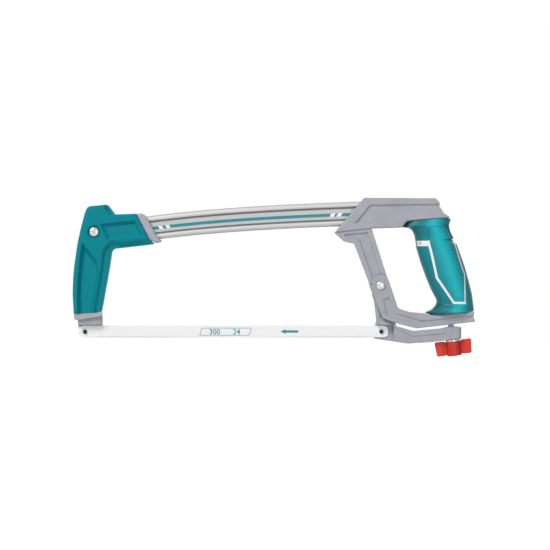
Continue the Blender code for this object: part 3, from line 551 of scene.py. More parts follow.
def combined(piece, operation, others):
    """Joins or cuts a piece with others, which are used up."""
    for other in others:
        boolean = piece.modifiers.new(other.name, "BOOLEAN")
        boolean.operation = operation
        boolean.solver = "EXACT"
        boolean.object = other
    bpy.context.view_layer.update()
    graph = bpy.context.evaluated_depsgraph_get()
    mesh = bpy.data.meshes.new_from_object(piece.evaluated_get(graph))
    finish = piece.data.materials[0]
    piece.modifiers.clear()
    piece.data = mesh
    mesh.materials.clear()
    mesh.materials.append(finish)
    for other in others:
        bpy.data.objects.remove(other)
    mesh.shade_smooth()
    mesh.set_sharp_from_angle(angle=math.radians(32))
    return piece


def joined(piece, *others):
    return combined(piece, "UNION", others)


def cut(piece, *others):
    return combined(piece, "DIFFERENCE", others)


def rod(name, at, low, high, radius):
    """A plain round bar across the saw, to cut holes with."""
    return plain_plate(name, circle(at, radius), low, high)


def fine_grain_group():
    """The tiny unevenness of powder coat, moulded plastic and rubber."""
    group, given, out = surface_group("Fine grain", ("Grain", "Float", 900.0))
    place = add(group, "TexCoord").outputs["Object"]
    fine = add(group, "TexNoise", {"Vector": place, "Scale": given.outputs["Grain"], "Detail": 2.0})
    broad = add(group, "TexNoise", {"Vector": place, "Scale": 60.0, "Detail": 2.0})
    both = maths(group, "ADD", fine.outputs["Fac"], broad.outputs["Fac"])
    return varied(group, given, out, maths(group, "SUBTRACT", both, 1.0), fine.outputs["Fac"])


FINE_GRAIN = fine_grain_group()


def grained(name, colour, roughness, grain, contrast, depth, specular=0.3):
    """A coated or moulded surface with its own grain."""
    made, tree, shader = new_material(name)
    shader.inputs["Specular IOR Level"].default_value = specular
    surfaced(tree, FINE_GRAIN, {
        "Color": (*colour, 1), "Grain": grain, "Contrast": contrast, "Roughness": roughness}, depth, 0.6)
    return made


powder_coat = grained(
    "grey powder coat", (0.405, 0.405, 0.455), roughness=0.55, grain=700.0, contrast=0.32, depth=0.12)

ARM_SLOPE = (TUBE_BEND - COLLAR).normalized()
ARM_ACROSS = Vector((-ARM_SLOPE.y, ARM_SLOPE.x))
SOCKET_HALF = Vector((7.9, 13.4))  # half the socket's width and height
COVER_MOUTH = [(-11.0, 15.0), (2.8, -11.8)]  # the covers' slanted rear edge, from the collar
FLANGE_TOP = [(-10.8, 17.6), (17.1, 19.8)]  # the covers stand on this edge, from the front pin
SEAT = 0.625  # the blade lies against this plane
POST_HALF = 6
PIN_RADIUS = 2.05
GAP = 0.3  # between pieces that don't touch


def socket_shape(grow=0.0):
    """The arm's socket in side view: it follows the tube and ends level with the covers."""
    half = SOCKET_HALF.y + grow
    front = COLLAR - ARM_SLOPE * (TUBE_IN_ARM + 2 + grow)
    rear = COLLAR + ARM_SLOPE * (3 + grow)
    top_rear = COLLAR + ARM_SLOPE * (grow - 6)
    return [front - ARM_ACROSS * half, rear - ARM_ACROSS * half, top_rear + ARM_ACROSS * half,
            front + ARM_ACROSS * half]


def post_shape():
    """The arm's post in side view, from the socket down to the flange."""
    top = [(-66.0, -16.0), (-66.5, -8.0), (-47.0, -8.0), (-45.0, -16.0)]
    return outline((COLLAR, top), (FRONT_PIN, [(12.5, 19.0), (11.5, 14.0), (-7.0, 14.0), (-7.0, 19.0)]))


(mouth_x, mouth_z), (mouth_low_x, mouth_low_z) = COVER_MOUTH
lip = [(mouth_x + GAP, mouth_z, 0.8), (-4.2, 15.3, 2.5), (-0.4, 12.3), (1.7, 8.5), (10.6, -8.5, 2.0)]
lip += [(15.5, -13.0, 0.8), (9.4, -14.7), (mouth_low_x + 0.5, mouth_low_z + 0.4, 2.0)]
lip = outline((COLLAR, lip))
flange = FLANGE_TOP[::-1] + [(-10.3, 12.4, 2.0), (-6.8, 11.8), (17.3, 15.9, 0.8), (16.9, 17.3, 0.8)]
flange = outline((FRONT_PIN, flange))
BLOCK_PLAN = [(-6.8, SEAT, 0.5), (12.7, SEAT, 0.8), (17.5, 6.0, 0.8), (17.5, 9.0, 1.0), (-6.8, 9.0, 1.0)]
TOP_PLAN = [(-6.8, -6.2, 0.5), (12.4, -6.2, 0.8), (17.4, -4.9, 0.8), (17.4, 9.0, 1.0), (-6.8, 9.0, 1.0)]
block_side = [(-6.2, -3.4, 4.5), (19.0, -4.2), (19.0, 16.0), (-6.8, 16.0), (-6.8, 4.0), (-6.2, 3.0)]


def block_part(name, plan, low, high, radius):
    """A part of the blade's block, from its plan and its two heights above the front pin."""
    plan = outline(((FRONT_PIN.x, 0), plan))
    part = relief(name, [plan], -high, -low, powder_coat, [], [rounding(plan, radius=radius)])
    return laid_flat(part, Matrix.Translation((0, 0, FRONT_PIN.y * MM)))


front_arm = relief("front_arm_cast", [lip], -10, 10, powder_coat, [rounding(lip, radius=1.6)])
block_plate = block_part("arm_block", BLOCK_PLAN, -3.4, 15.0, 0.7)
combined(block_plate, "INTERSECT", [plain_plate("block_side", outline((FRONT_PIN, block_side)), 0, 12)])
joined(
    front_arm,
    relief("arm_flange", [flange], -9.5, 9.5, powder_coat, [rounding(flange, radius=0.4)]),
    block_plate,
    block_part("arm_block_top", TOP_PLAN, 6.9, 16.4, 0.6),  # it stands further out above the blade
    plain_plate("arm_socket", socket_shape(), -SOCKET_HALF.x, SOCKET_HALF.x),
    plain_plate("arm_post", post_shape(), -POST_HALF, POST_HALF),
)
cut(front_arm, swept("arm_tube_room", oval(GAP)), rod("arm_pin_hole", FRONT_PIN, 0, 7, PIN_RADIUS))
finished(front_arm, "saw_frame", "cast_aluminium", "front_arm")

# ------------------------------------------------------------------ Front covers
# Two moulded teal shells meet on the saw's plane round the front arm. Each has a humped top, a
# long pocket beside the tube, an open pocket down the post and a wide step along its under edge.

COVER_HALF = 12.0
BOLT = FRONT_PIN + Vector((9.6, 101.0))
hump = [(-69.7, -14.0, 8.0), (-66.2, 1.7, 30.0), (-62.5, 15.7, 12.0), (-59.6, 22.4, 5.5)]
hump += [(-39.6, 24.3, 4.0), (-31.9, 14.2, 1.5)]
under = [(8.4, -15.2, 0.5), (2.0, -16.4), (-28.6, -19.9), (-34.9, -20.6, 5.0)]
(foot_left, foot_low), (foot_right, foot_high) = FLANGE_TOP
post_rim = [(24.8, 63.0, 40.0), (18.9, 30.4), (foot_right - 0.2, foot_high + GAP, 0.6)]
post_rim += [(foot_left, foot_low + GAP, 1.0), (-12.0, 38.0, 30.0), (-11.4, 55.0, 60.0), (-10.2, 67.7, 30.0)]
cover_rim = outline((COLLAR, hump + COVER_MOUTH + under), (FRONT_PIN, post_rim))
bevel_path = outline((COLLAR, [(8.4, -15.2), (2.0, -16.4), (-28.6, -19.9), (-33.0, -20.9)]))
side_path = outline(
    (COLLAR, [(-33.0, -20.9), (-36.5, -25.0)]),
    (FRONT_PIN, [(24.8, 63.0), (18.9, 30.4), (foot_right - 0.2, foot_high)]),
)
BEVEL_FALL = [(0, 3.3), (1.2, 2.9), (2.8, 2.1), (4.4, 1.2), (6.2, 0.4), (8.0, 0)]
SIDE_FALL = [(0, 4.4), (2.6, 3.7), (3.4, 3.5), (5.2, 3.3), (6.0, 2.9), (7.8, 0.9), (8.7, 0.15), (9.3, 0)]
UPPER_POCKET = [(-48.3, 4.7, 0.6), (-10.8, 8.6, 0.6), (-2.6, -8.2, 0.6), (-40.0, -11.9, 0.6)]
LOWER_POCKET = [(-2.4, 91.0, 0.6), (14.2, 70.8, 1.5), (15.6, 60.0), (8.6, 12.0), (-7.5, 12.0)]
LOWER_POCKET += [(-7.7, 38.0), (-6.8, 57.0), (-4.8, 76.0)]
HUMP_FACET = [(-45.0, 26.0), (-42.8, 20.4), (-38.0, 13.4, 5.0), (-31.0, 12.7), (-28.0, 30.0)]
BOLT_ROOM, NUT_ROOM = 2.2, 2.0  # how deep the bolt's head and its nut lie in the covers
SCREW_BORE = 2.65  # for a 5 mm screw

teal_plastic = grained(
    "teal moulded plastic", (0.002, 0.235, 0.288), 0.45, grain=1500.0, contrast=0.10, depth=0.03,
    specular=0.1)


def front_cover(name, side):
    """One shell; side is -1 on the left and 1 on the right."""
    features = [
        rounding(cover_rim, radius=2.4),
        shoulder(bevel_path, BEVEL_FALL),
        shoulder(side_path, SIDE_FALL),
        pocket(outline((COLLAR, UPPER_POCKET)), depth=3.3, wall=3.8),
        pocket(outline((FRONT_PIN, LOWER_POCKET)), depth=5.2, wall=4.0, rise=0.008),
        pocket(outline((COLLAR, HUMP_FACET)), depth=3.8, wall=3.0),
    ]
    if side < 0:
        features.append(pocket(circle(BOLT, 6.7), depth=BOLT_ROOM, wall=0.5))
        cover = relief(name, [cover_rim], -COVER_HALF, -GAP / 2, teal_plastic, features, [])
    else:
        features.append(pocket(circle(BOLT, 5.0, 6), depth=NUT_ROOM, wall=0.15))
        cover = relief(name, [cover_rim], GAP / 2, COVER_HALF, teal_plastic, [], features)
    cut(
        cover,
        plain_plate("socket_room", socket_shape(GAP), -SOCKET_HALF.x - GAP, SOCKET_HALF.x + GAP),
        plain_plate("post_room", grown(post_shape(), GAP), -POST_HALF - GAP, POST_HALF + GAP),
        rod("cover_bolt_hole", BOLT, -20, 20, SCREW_BORE),
    )
    return finished(cover, "saw_frame", "teal_plastic", name.replace("_moulded", ""))


front_cover("front_cover_left_moulded", -1)
front_cover("front_cover_right_moulded", 1)

# ------------------------------------------------------------------ Front bolt and nut
# A bright zinc-plated pan-head screw with a cross recess passes through both covers, the arm
# and the tube into a hexagon nut that the right cover holds.

bright_zinc = bare_metal(
    "bright zinc plate", (0.55, 0.55, 0.55), roughness=0.24, lines=900.0, contrast=0.12, depth=0.01)


def turned(name, profile, finish=None, sides=64):
    """A profile of (radius, height) points turned about the height axis."""
    ways = [(math.cos(a), math.sin(a)) for a in (2 * math.pi * k / sides for k in range(sides))]
    rings = [[(radius * c, radius * s, height) for c, s in ways] for radius, height in profile]
    return lofted(name, finish, rings, capped=False)


def laid_across(piece, at, y, faces_left=True):
    """Lays a turned piece across the saw with its top towards one side."""
    turn = Matrix.Rotation(math.pi / 2 if faces_left else -math.pi / 2, 4, "X")
    piece.data.transform(Matrix.Translation((at[0] * MM, y * MM, at[1] * MM)) @ turn)
    return piece


def dome(radius, height, rise):
    """A rounded screw head's profile from its top to its rim; rise is the rounded share."""
    angles = np.radians(range(0, 91, 10))
    curve = [(radius * math.sin(a), height * (1 - rise) + height * rise * math.cos(a)) for a in angles]
    return curve + [(radius, 0)]


def oblong(at, wide, tall):
    """A rectangle round a centre."""
    return [at + Vector((x * wide / 2, z * tall / 2)) for x, z in ((-1, -1), (1, -1), (1, 1), (-1, 1))]


BOLT_SEAT = -COVER_HALF + BOLT_ROOM - GAP
NUT_THICKNESS = 2.7
bolt_end = BOLT_SEAT - (COVER_HALF - NUT_ROOM + NUT_THICKNESS)
shank = [(2.5, 0), (2.5, bolt_end + 0.6), (1.9, bolt_end), (0, bolt_end)]
front_bolt = turned("front_bolt_plated", dome(radius=4.85, height=2.4, rise=0.75) + shank, bright_zinc)
laid_across(front_bolt, BOLT, BOLT_SEAT)
for wide, tall in ((5.4, 1.5), (1.5, 5.4)):
    cut(front_bolt, plain_plate("cross", oblong(BOLT, wide, tall), BOLT_SEAT - 4, BOLT_SEAT - 0.5))
finished(front_bolt, "saw_frame", "bright_steel", "front_bolt")

# ------------------------------------------------------------------ Blade pins
# Two short blackened steel pins with rounded ends carry the blade. One is pressed into the
# front arm and the other into the tension lever.

black_steel = bare_metal(
    "blackened steel", (0.012, 0.012, 0.013), 0.45, lines=1200.0, contrast=0.2, depth=0.01, metallic=0.5)

pin_profile = [(0, 2.2), (1.5, 2.2), (1.9, 2.0), (PIN_RADIUS, 1.7), (PIN_RADIUS, -5.8), (0, -5.8)]
for node, at, body in (("front_blade_pin", FRONT_PIN, "saw_frame"), ("rear_blade_pin", REAR_PIN, "lever")):
    pin = laid_across(turned(f"{node}_turned", pin_profile, black_steel), at, 0)
    finished(pin, body, "black_steel", node)

# ------------------------------------------------------------------ Handle casting
# The D-shaped handle is one powder-coated casting: a head with a bare sunk panel that takes the
# tube, a recessed strut, a fork for the lever, a ridged lower bar and the core inside the grip.

PIVOT = centre_of("pivot_nut")
HEAD_HALF = 11.0
FRAME_HALF = 10.0
CORE_HALF = Vector((6.5, 6.0))  # half the core's depth and width
ARM_HALF = 4.0  # half the width of the lever's arm
EYE_ROOM = 7.1  # the radius of the room round the lever's eye
PIVOT_BORE = 3.6
head_rim = [(-114.0, -19.3, 0.8), (-84.2, 15.88, 1.5), (-11.8, 15.4, 1.5), (-7.3, 9.9, 0.6)]
head_rim += [(-8.6, 8.1, 0.6), (-3.1, 0.0), (1.9, -3.2, 0.6), (1.9, -4.1), (-40.9, -7.6, 0.6)]
head_rim = outline((HEAD, head_rim + [(-45.5, -13.9, 1.0), (-76.5, -15.1)]))
PANEL = [(-78.3, 8.8, 0.8), (-8.6, 9.6, 0.8), (-1.0, -0.6, 0.5), (-47.6, -4.8), (-90.9, -9.8)]
PANEL = outline((HEAD, PANEL + [(-94.6, -10.7, 0.5)]))
frame_rim = outline(
    (HEAD, [(-76.5, -15.1), (-76.5, -8.0), (-106.0, -12.0), (-114.0, -19.3, 0.6)]),
    (HEAD, [(-104.2, -28.0, 1.5), (-93.9, -30.4, 2.0)]),
    (PIVOT, [(-11.7, 3.7), (-10.6, -1.4, 3.0)]),
    (REAR_PIN, [(-4.8, 28.6), (0.3, 13.6, 1.0), (6.2, 11.7), (18.1, 7.7), (35.1, 3.6, 1.0)]),
    (REAR_PIN, [(94.7, 10.3, 0.8), (92.6, 14.5, 0.5), (93.4, 20.4, 0.6), (50.7, 16.5), (44.1, 18.6)]),
    (REAR_PIN, [(29.0, 19.9, 8.0), (16.4, 23.8, 4.0)]),
    (PIVOT, [(8.2, 4.9), (6.8, 7.5)]),
)
STRUT_RECESS = outline(
    (HEAD, [(-105.6, -21.0, 0.5), (-80.5, -18.5, 0.5)]),
    (PIVOT, [(0.2, 11.6, 0.5), (-9.0, 8.8, 0.5)]),
    (HEAD, [(-89.7, -26.7, 2.0), (-101.0, -24.8, 1.0)]),
)
BAR_CHANNEL = [(1.3, 32.9, 0.6), (7.6, 34.8, 0.6), (13.0, 19.3, 1.5), (28.9, 14.8), (40.1, 11.2)]
BAR_CHANNEL += [(60.3, 13.2), (98.0, 17.2), (98.0, 13.4), (33.0, 6.9), (28.9, 9.2), (7.6, 15.0)]
BAR_CHANNEL = outline((REAR_PIN, BAR_CHANNEL + [(4.7, 17.9, 0.6)]))
ABOVE_BOSS = outline(
    (HEAD, [(-120.0, -17.0), (-70.0, -13.0)]),
    (PIVOT, [(14.0, 4.0), (8.2, 6.0), (6.0, 9.9, 1.0), (0.4, 11.6, 1.0), (-8.6, 8.8, 1.5)]),
    (PIVOT, [(-9.6, 2.0), (-16.0, 2.0)]),
)
BOSS_LINE = outline((PIVOT, [(8.6, 5.6), (6.0, 9.9), (0.4, 11.6), (-7.4, 9.2), (-8.8, 7.0), (-9.2, 1.5)]))


def core_shape(half, longer=0.0):
    """The core inside the grip in side view, from the bar up into the head."""
    low, high = REAR_PIN + Vector((69.9, 15.0)), HEAD + Vector((-20.5, -2.0))
    way = (high - low).normalized()
    side = right_of(way) * half
    low, high = low - way * longer, high + way * longer
    return [low - side, low + side, high + side, high - side]


def handle_casting():
    """The head and the frame are cast as one, then bored and slotted."""
    head_features = [rounding(head_rim, radius=1.3), pocket(PANEL, depth=1.6, wall=0.9)]
    frame_features = [
        rounding(frame_rim, radius=1.1),
        pocket(ABOVE_BOSS, depth=0.5, wall=0.4),
        shoulder(BOSS_LINE, [(0, 1.1), (0.3, 1.0), (0.7, 0)]),
        pocket(STRUT_RECESS, depth=2.2, wall=0.8),
        pocket(BAR_CHANNEL, depth=1.1, wall=0.6),
    ]
    casting = relief("handle_casting_coated", [head_rim], -HEAD_HALF, HEAD_HALF, powder_coat, head_features)
    body = relief("handle_frame", [frame_rim], -FRAME_HALF, FRAME_HALF, powder_coat, frame_features)
    joined(casting, body, plain_plate("handle_core", core_shape(CORE_HALF.x), -CORE_HALF.y, CORE_HALF.y))
    room = [(EYE_ROOM * math.sin(a), EYE_ROOM * math.cos(a)) for a in np.linspace(0, 1.5, 7)]
    fork_slot = outline(
        (PIVOT, [(-30.0, 7.6), (-3.0, 7.6), *room]),
        (REAR_PIN, [(7.6, 26.2), (15.4, 9.3), (15.4, -5.0), (-30.0, -5.0)]),
    )
    return cut(
        casting,
        swept("head_tube_room", oval(GAP)),
        plain_plate("fork_slot", fork_slot, -ARM_HALF - GAP, ARM_HALF + GAP),
        rod("pivot_hole", PIVOT, -20, 20, PIVOT_BORE),
    )


casting = handle_casting()

# ------------------------------------------------------------------ Set screws
# Two grub screws of blackened steel with hexagon sockets are sunk into the head's right side
# and hold the tube.

for node in ("tube_set_screw_front", "tube_set_screw_rear"):
    at = centre_of(node)
    cut(casting, rod("set_screw_hole", at, 6.0, 20, SCREW_BORE))
    profile = [(0, 3.0), (1.9, 3.0), (2.5, 2.5), (2.5, 0), (0, 0)]
    screw = laid_across(turned(f"{node}_turned", profile, black_steel), at, 6.8, faces_left=False)
    cut(screw, plain_plate("hexagon_socket", circle(at, 1.45, 6), 8.3, 12))
    finished(screw, "saw_frame", "black_steel", node)

# ------------------------------------------------------------------ Pivot
# The lever turns on a zinc-plated sleeve nut that crosses the handle's fork. A domed screw
# closes it on the left, and its own head on the right has a driver slot.

PIVOT_FACE = FRAME_HALF + GAP
pivot_head = dome(radius=4.4, height=2.4, rise=0.85)
pivot_bolt = turned("pivot_bolt_plated", pivot_head + [(2.5, 0), (2.5, -9), (0, -9)], bright_zinc)
laid_across(pivot_bolt, PIVOT, -PIVOT_FACE)
finished(pivot_bolt, "saw_frame", "bright_steel", "pivot_bolt")
sleeve_end = GAP - 2 * PIVOT_FACE
sleeve_side = [(3.5, 0), (3.5, sleeve_end), (0, sleeve_end)]
pivot_nut = turned("pivot_nut_plated", pivot_head + sleeve_side, bright_zinc)
laid_across(pivot_nut, PIVOT, PIVOT_FACE, faces_left=False)
cut(
    pivot_nut,
    rod("pivot_thread", PIVOT, -PIVOT_FACE - 1, -PIVOT_FACE + 9.3, SCREW_BORE),
    plain_plate("driver_slot", oblong(PIVOT, 10, 1.2), PIVOT_FACE + 1.2, PIVOT_FACE + 4),
)
finished(pivot_nut, "saw_frame", "bright_steel", "pivot_nut")

# ------------------------------------------------------------------ Grip and its trim
# A soft teal sleeve is moulded over the casting's core. A white line let into it frames a
# dimpled panel on each side and wraps round the front and the back.

# Tables down the grip, from its top: (height, value). Its rings rise towards the back.
GRIP_SLOPES = [(50.5, 0.0818), (38.0, 0.0963), (-38.0, 0.0963), (-46.2, 0.0913)]
FRONT_EDGE = [(50.5, -41.0), (45.5, -45.0), (45.0, -44.6), (43.8, -38.8), (42.2, -36.4), (40.1, -34.7)]
FRONT_EDGE += [(35.8, -33.0), (29.5, -31.9), (23.3, -31.2), (8.7, -27.1), (-6.7, -21.7), (-20.1, -16.4)]
FRONT_EDGE += [(-27.0, -12.8), (-31.0, -10.9), (-34.0, -10.8), (-37.0, -12.2), (-40.4, -15.7)]
FRONT_EDGE += [(-42.6, -22.0), (-43.6, -21.5), (-46.2, -16.2)]
BACK_EDGE = [(50.5, 2.5), (49.3, 4.0), (48.0, 3.6), (43.3, 2.2), (40.0, 2.4), (37.0, 3.2), (33.0, 5.0)]
BACK_EDGE += [(29.6, 6.7), (29.1, 6.5), (28.5, 4.9), (23.6, 9.7), (11.6, 13.9), (-0.9, 18.1), (-14.3, 21.7)]
BACK_EDGE += [(-28.8, 25.2), (-44.0, 27.2), (-46.2, 27.0)]
HALF_WIDTHS = [(50.5, 12.3), (45.0, 12.5), (38.0, 13.4), (29.4, 14.6), (20.0, 15.2), (8.7, 15.59)]
HALF_WIDTHS += [(-6.7, 15.59), (-20.1, 15.0), (-30.0, 14.1), (-35.5, 13.0), (-37.5, 13.2), (-40.5, 14.9)]
HALF_WIDTHS += [(-44.0, 15.3), (-46.2, 15.3)]
GRIP_SKIN = 1.2
GRIP_PAINTED_LIGHT = [(0.0, 0.95), (0.15, 0.86), (0.3, 0.74), (0.42, 0.78), (0.5, 0.98), (0.58, 1.2)]
GRIP_PAINTED_LIGHT += [(0.67, 1.42), (0.76, 1.36), (0.84, 1.1), (0.92, 1.0), (1.0, 1.05)]  # painted highlight and shade, from front to back
DOT_ROWS = 2100.0  # how closely the panel's dots lie
SQUARENESS = 0.96  # below 1 the grip's section is fuller than an ellipse


def along_grip(table, height):
    """A value of the grip at a height, read smoothly from a falling table."""
    heights, values = zip(*table[::-1])
    return float(np.interp(height, heights, values))


def grip_loft(name, shrink, finish=None, sides=96):
    """The sleeve's shape, drawn in all round by shrink."""
    edges = {h for table in (FRONT_EDGE, BACK_EDGE) for h, _ in table}
    heights = sorted(edges | set(np.arange(-45, 50, 1.0)), reverse=True)
    top, bottom = heights[0], heights[-1]
    rings = [(top, 1.0)] + [(h, 0.0) for h in (top - 0.25, *heights[1:-1], bottom + 0.25)] + [(bottom, 0.6)]
    rings = sorted(set(rings), key=lambda ring: (-ring[0], ring[1]))
    skin = []
    for height, roll in rings:
        front, back = along_grip(FRONT_EDGE, height), along_grip(BACK_EDGE, height)
        middle, long = (front + back) / 2, (back - front) / 2 - shrink - roll
        wide = along_grip(HALF_WIDTHS, height) - shrink - roll
        ring = []
        for k in range(sides):
            c, s = math.cos(2 * math.pi * k / sides), math.sin(2 * math.pi * k / sides)
            x = middle + long * math.copysign(abs(c) ** SQUARENESS, c)
            y = wide * math.copysign(abs(s) ** SQUARENESS, s)
            ring.append((x, y, height + x * along_grip(GRIP_SLOPES, height)))
        skin.append(ring)
    return lofted(name, finish, skin)


def ribbon(path, width):
    """The outline of a strip of even width along an open path."""
    path = [Vector(p) for p in path]
    left, right = [], []
    for last, here, after in zip([None, *path], path, [*path[1:], None]):
        first = (here - last).normalized() if last else (after - here).normalized()
        second = (after - here).normalized() if after else first
        out_1, out_2 = right_of(first), right_of(second)
        shift = (out_1 + out_2) / (1 + out_1.dot(out_2)) * width / 2
        left.append(here + shift)
        right.append(here - shift)
    return left + right[::-1]


TRIM_PATH = [(-20.6, 24.6), (-19.3, 26.0), (-15.7, 11.6), (-10.9, -10.0), (6.3, -35.2), (18.6, -35.2)]
TRIM_WIDTH = 2.4
BACK_PATH = [(17.6, -36.3), (17.2, -6.0), (14.8, 0.0), (11.1, 12.2), (7.5, 24.0), (5.9, 26.6)]
BACK_WIDTH = 1.4
FRONT_BAND = [(-30.2, 22.0), (-19.4, 22.0), (-19.4, 27.4), (-31.0, 27.4)]
BAND_MARK = [(-29.4, 23.4), (-25.8, 23.4), (-25.8, 26.4), (-29.4, 26.4)]
BACK_BAND = [(4.0, 29.4), (8.0, 24.4), (20.0, 24.4), (20.0, 29.4)]
PANEL_LINE = [(-19.2, 27.6), (-18.6, 41.0), (-0.5, 42.8), (6.0, 28.0)]
SKIRT_LINE = [(-16.2, -45.0), (-7.4, -36.6), (4.0, -40.4)]
PANEL_EDGE = [(-18.6, 41.0), (-0.5, 42.8), (6.0, 28.0), (17.8, -3.9), (18.2, -35.1), (6.3, -35.1)]
PANEL_EDGE += [(-10.9, -10.0), (-19.3, 26.0)]
CREASE_WIDTH, CREASE_DEPTH = 0.9, 0.7
THROUGH = 25  # past the grip's widest place


def through_grip(name, shape, finish=None):
    """A shape that runs right through the grip from side to side."""
    return plain_plate(name, shape, -THROUGH, THROUGH, finish)


def trim_solid(name, grow, finish=None):
    """The white line in side view, right through the grip."""
    shapes = [outline(((0, 0), band)) for band in (FRONT_BAND, BACK_BAND)]
    shapes.append(ribbon(BACK_PATH, BACK_WIDTH))
    made = through_grip(name, ribbon(TRIM_PATH, TRIM_WIDTH + 2 * grow), finish)
    return joined(made, *(through_grip("trim_part", grown(shape, grow)) for shape in shapes))


def soft_rubber():
    """Teal soft-touch rubber with painted highlight and shade across the grip, and small dots in the panels.
    """
    made = grained("teal soft rubber with painted light", (0.003, 0.40, 0.465), 0.42, grain=1300.0, contrast=0.12, depth=0.03)
    tree = made.node_tree
    apart = add(tree, "SeparateXYZ", {0: add(tree, "TexCoord").outputs["Object"]}).outputs
    rows = []
    for operation in ("ADD", "SUBTRACT"):
        slant = maths(tree, operation, apart["X"], apart["Z"])
        rows.append(maths(tree, "SINE", maths(tree, "MULTIPLY", slant, DOT_ROWS)))
    raised = maths(tree, "MAXIMUM", maths(tree, "MULTIPLY", *rows), 0.0)
    panel = add(tree, "Attribute", attribute_name="panel").outputs["Fac"]
    dots = maths(tree, "MULTIPLY", raised, panel)
    normal = tree.nodes["Principled BSDF"].inputs["Normal"]
    dimples = add(tree, "Bump", {
        "Height": dots, "Distance": 0.4 * MM, "Strength": 0.9, "Normal": normal.links[0].from_socket})
    tree.links.new(dimples.outputs["Normal"], normal)
    grip_painted_light = add(tree, "Attribute", attribute_name="grip_painted_light").outputs["Fac"]
    dots_and_painted_light = maths(tree, "MULTIPLY_ADD", dots, 0.25, grip_painted_light)
    # painted highlight and shade across the grip scale the rubber's colour; the panel and its dots are a
    # little lighter
    toned(tree, maths(tree, "MULTIPLY_ADD", panel, 0.05, dots_and_painted_light))
    return made


rubber = soft_rubber()
white_trim = grained("white trim", (0.92, 0.93, 0.93), 0.45, grain=1200.0, contrast=0.04, depth=0.01)
sleeve = grip_loft("grip_sleeve_moulded", 0, rubber)
groove = cut(trim_solid("trim_groove", 0.22), grip_loft("groove_floor", GRIP_SKIN))
core_room = plain_plate("core_room", core_shape(CORE_HALF.x + GAP, 3), -CORE_HALF.y - GAP, CORE_HALF.y + GAP)
creases = []
for line in (PANEL_LINE, SKIRT_LINE):
    crease = through_grip("crease", ribbon(line, CREASE_WIDTH))
    creases.append(cut(crease, grip_loft("crease_floor", CREASE_DEPTH)))
cut(sleeve, groove, *creases, core_room)


def grip_marks(places):
    """How much each point of the sleeve belongs to a panel, and its painted highlight and shade."""
    shape = [Vector(p) for p in PANEL_EDGE]
    panel = np.clip(distance(places[:, ::2], shape), 0, 1) * inside(places[:, ::2], shape)
    heights = places[:, 2] - 0.09 * places[:, 0]
    tables = (FRONT_EDGE, BACK_EDGE, HALF_WIDTHS)
    front, back, widest = (np.interp(heights, *zip(*table[::-1])) for table in tables)
    share = (places[:, 0] - front) / (back - front)
    # painted shade on the front of the grip's top and bottom flares
    painted_flare_shade = np.clip((np.abs(heights) - 28) / 10, 0, 1) * np.clip((0.55 - share) / 0.2, 0, 1)
    tone = 0.44 + 0.52 * np.clip(np.abs(places[:, 1]) / widest, 0, 1) ** 4  # painted shade, darker towards the front and back edges
    return panel, tone * np.interp(share, *zip(*GRIP_PAINTED_LIGHT)) * (1 - 0.3 * painted_flare_shade)


def marked(piece, name, values):
    """Stores a value at each point of a piece for its material."""
    piece.data.attributes.new(name, "FLOAT", "POINT").data.foreach_set("value", values.astype(np.float32))


panel_mask, painted_light_across_grip = grip_marks(np.array([tuple(v.co) for v in sleeve.data.vertices]) / MM)
marked(sleeve, "panel", panel_mask)
marked(sleeve, "grip_painted_light", painted_light_across_grip)
finished(sleeve, "saw_frame", "teal_rubber", "grip_sleeve")
trim = trim_solid("grip_trim_moulded", 0, white_trim)
combined(trim, "INTERSECT", [grip_loft("trim_outside", -0.12)])
mark = through_grip("band_mark", outline(((0, 0), BAND_MARK)))
cut(mark, grip_loft("mark_floor", 0.4))
cut(trim, grip_loft("trim_inside", GRIP_SKIN - 0.1), mark)
finished(trim, "saw_frame", "white_trim", "grip_trim")
# The small bare label in the trim's front band.
label = through_grip("band_label", outline(((0, 0), BAND_MARK)), ink("grey print", (0.62, 0.59, 0.58)))
combined(label, "INTERSECT", [grip_loft("label_outside", 0.3)])
cut(label, grip_loft("label_inside", 0.6))
finished(label, "saw_frame", "white_trim")
finished(casting, "saw_frame", "cast_aluminium", "handle_casting")

# ------------------------------------------------------------------ Tension lever
# A powder-coated casting: its arm turns in the handle's fork, and its foot carries the blade's
# rear end in a recess and is drawn up by the wing knob's screw.

knob_joint = next(j for j in frame["joints"] if j["name"] == "knob_turn")
KNOB_SEAT = Vector((knob_joint["pos_m"][0], knob_joint["pos_m"][2])) / MM
knob_up = -Vector(knob_joint["axis"])
knob_side = Vector((0, 1, 0)).cross(knob_up)
knob_turned = Matrix((knob_side, (0, 1, 0), knob_up)).transposed().to_4x4()
KNOB_PLACE = Matrix.Translation(Vector(knob_joint["pos_m"])) @ knob_turned

eye = [(6.4 * math.sin(a), 6.4 * math.cos(a)) for a in np.linspace(-0.3, 1.7, 9)]
lever_low = [(6.0, 26.0), (13.8, 9.3), (16.0, 2.0), (-5.0, 2.0), (-5.3, 12.6, 1.0), (-7.6, 31.5)]
lever_top = [(-8.2, -10.4), (-9.5, 0.8), (-5.0, 4.6)]
lever_arm = outline((PIVOT, lever_top + eye), (REAR_PIN, lever_low))
PAD = (50.5, 80.5)  # where the washer's face under the foot begins and ends
pad_fall = knob_up.x / knob_up.z
pad = [(x, KNOB_SEAT.y - REAR_PIN.y - (x + REAR_PIN.x - KNOB_SEAT.x) * pad_fall) for x in PAD]
foot_rim = [(-5.8, 9.6, 0.5), (-6.2, 6.3), (-7.4, -7.0, 0.5), (13.0, -10.1), (26.3, -12.0, 8.0), *pad]
foot_rim += [(80.5, 4.8, 1.0), (72.8, 5.8, 0.3), (72.6, 4.8), (68.6, 5.2), (60.4, 3.1), (33.0, 0.6, 1.0)]
foot_rim = outline((REAR_PIN, foot_rim + [(14.0, 6.0), (1.5, 10.4)]))
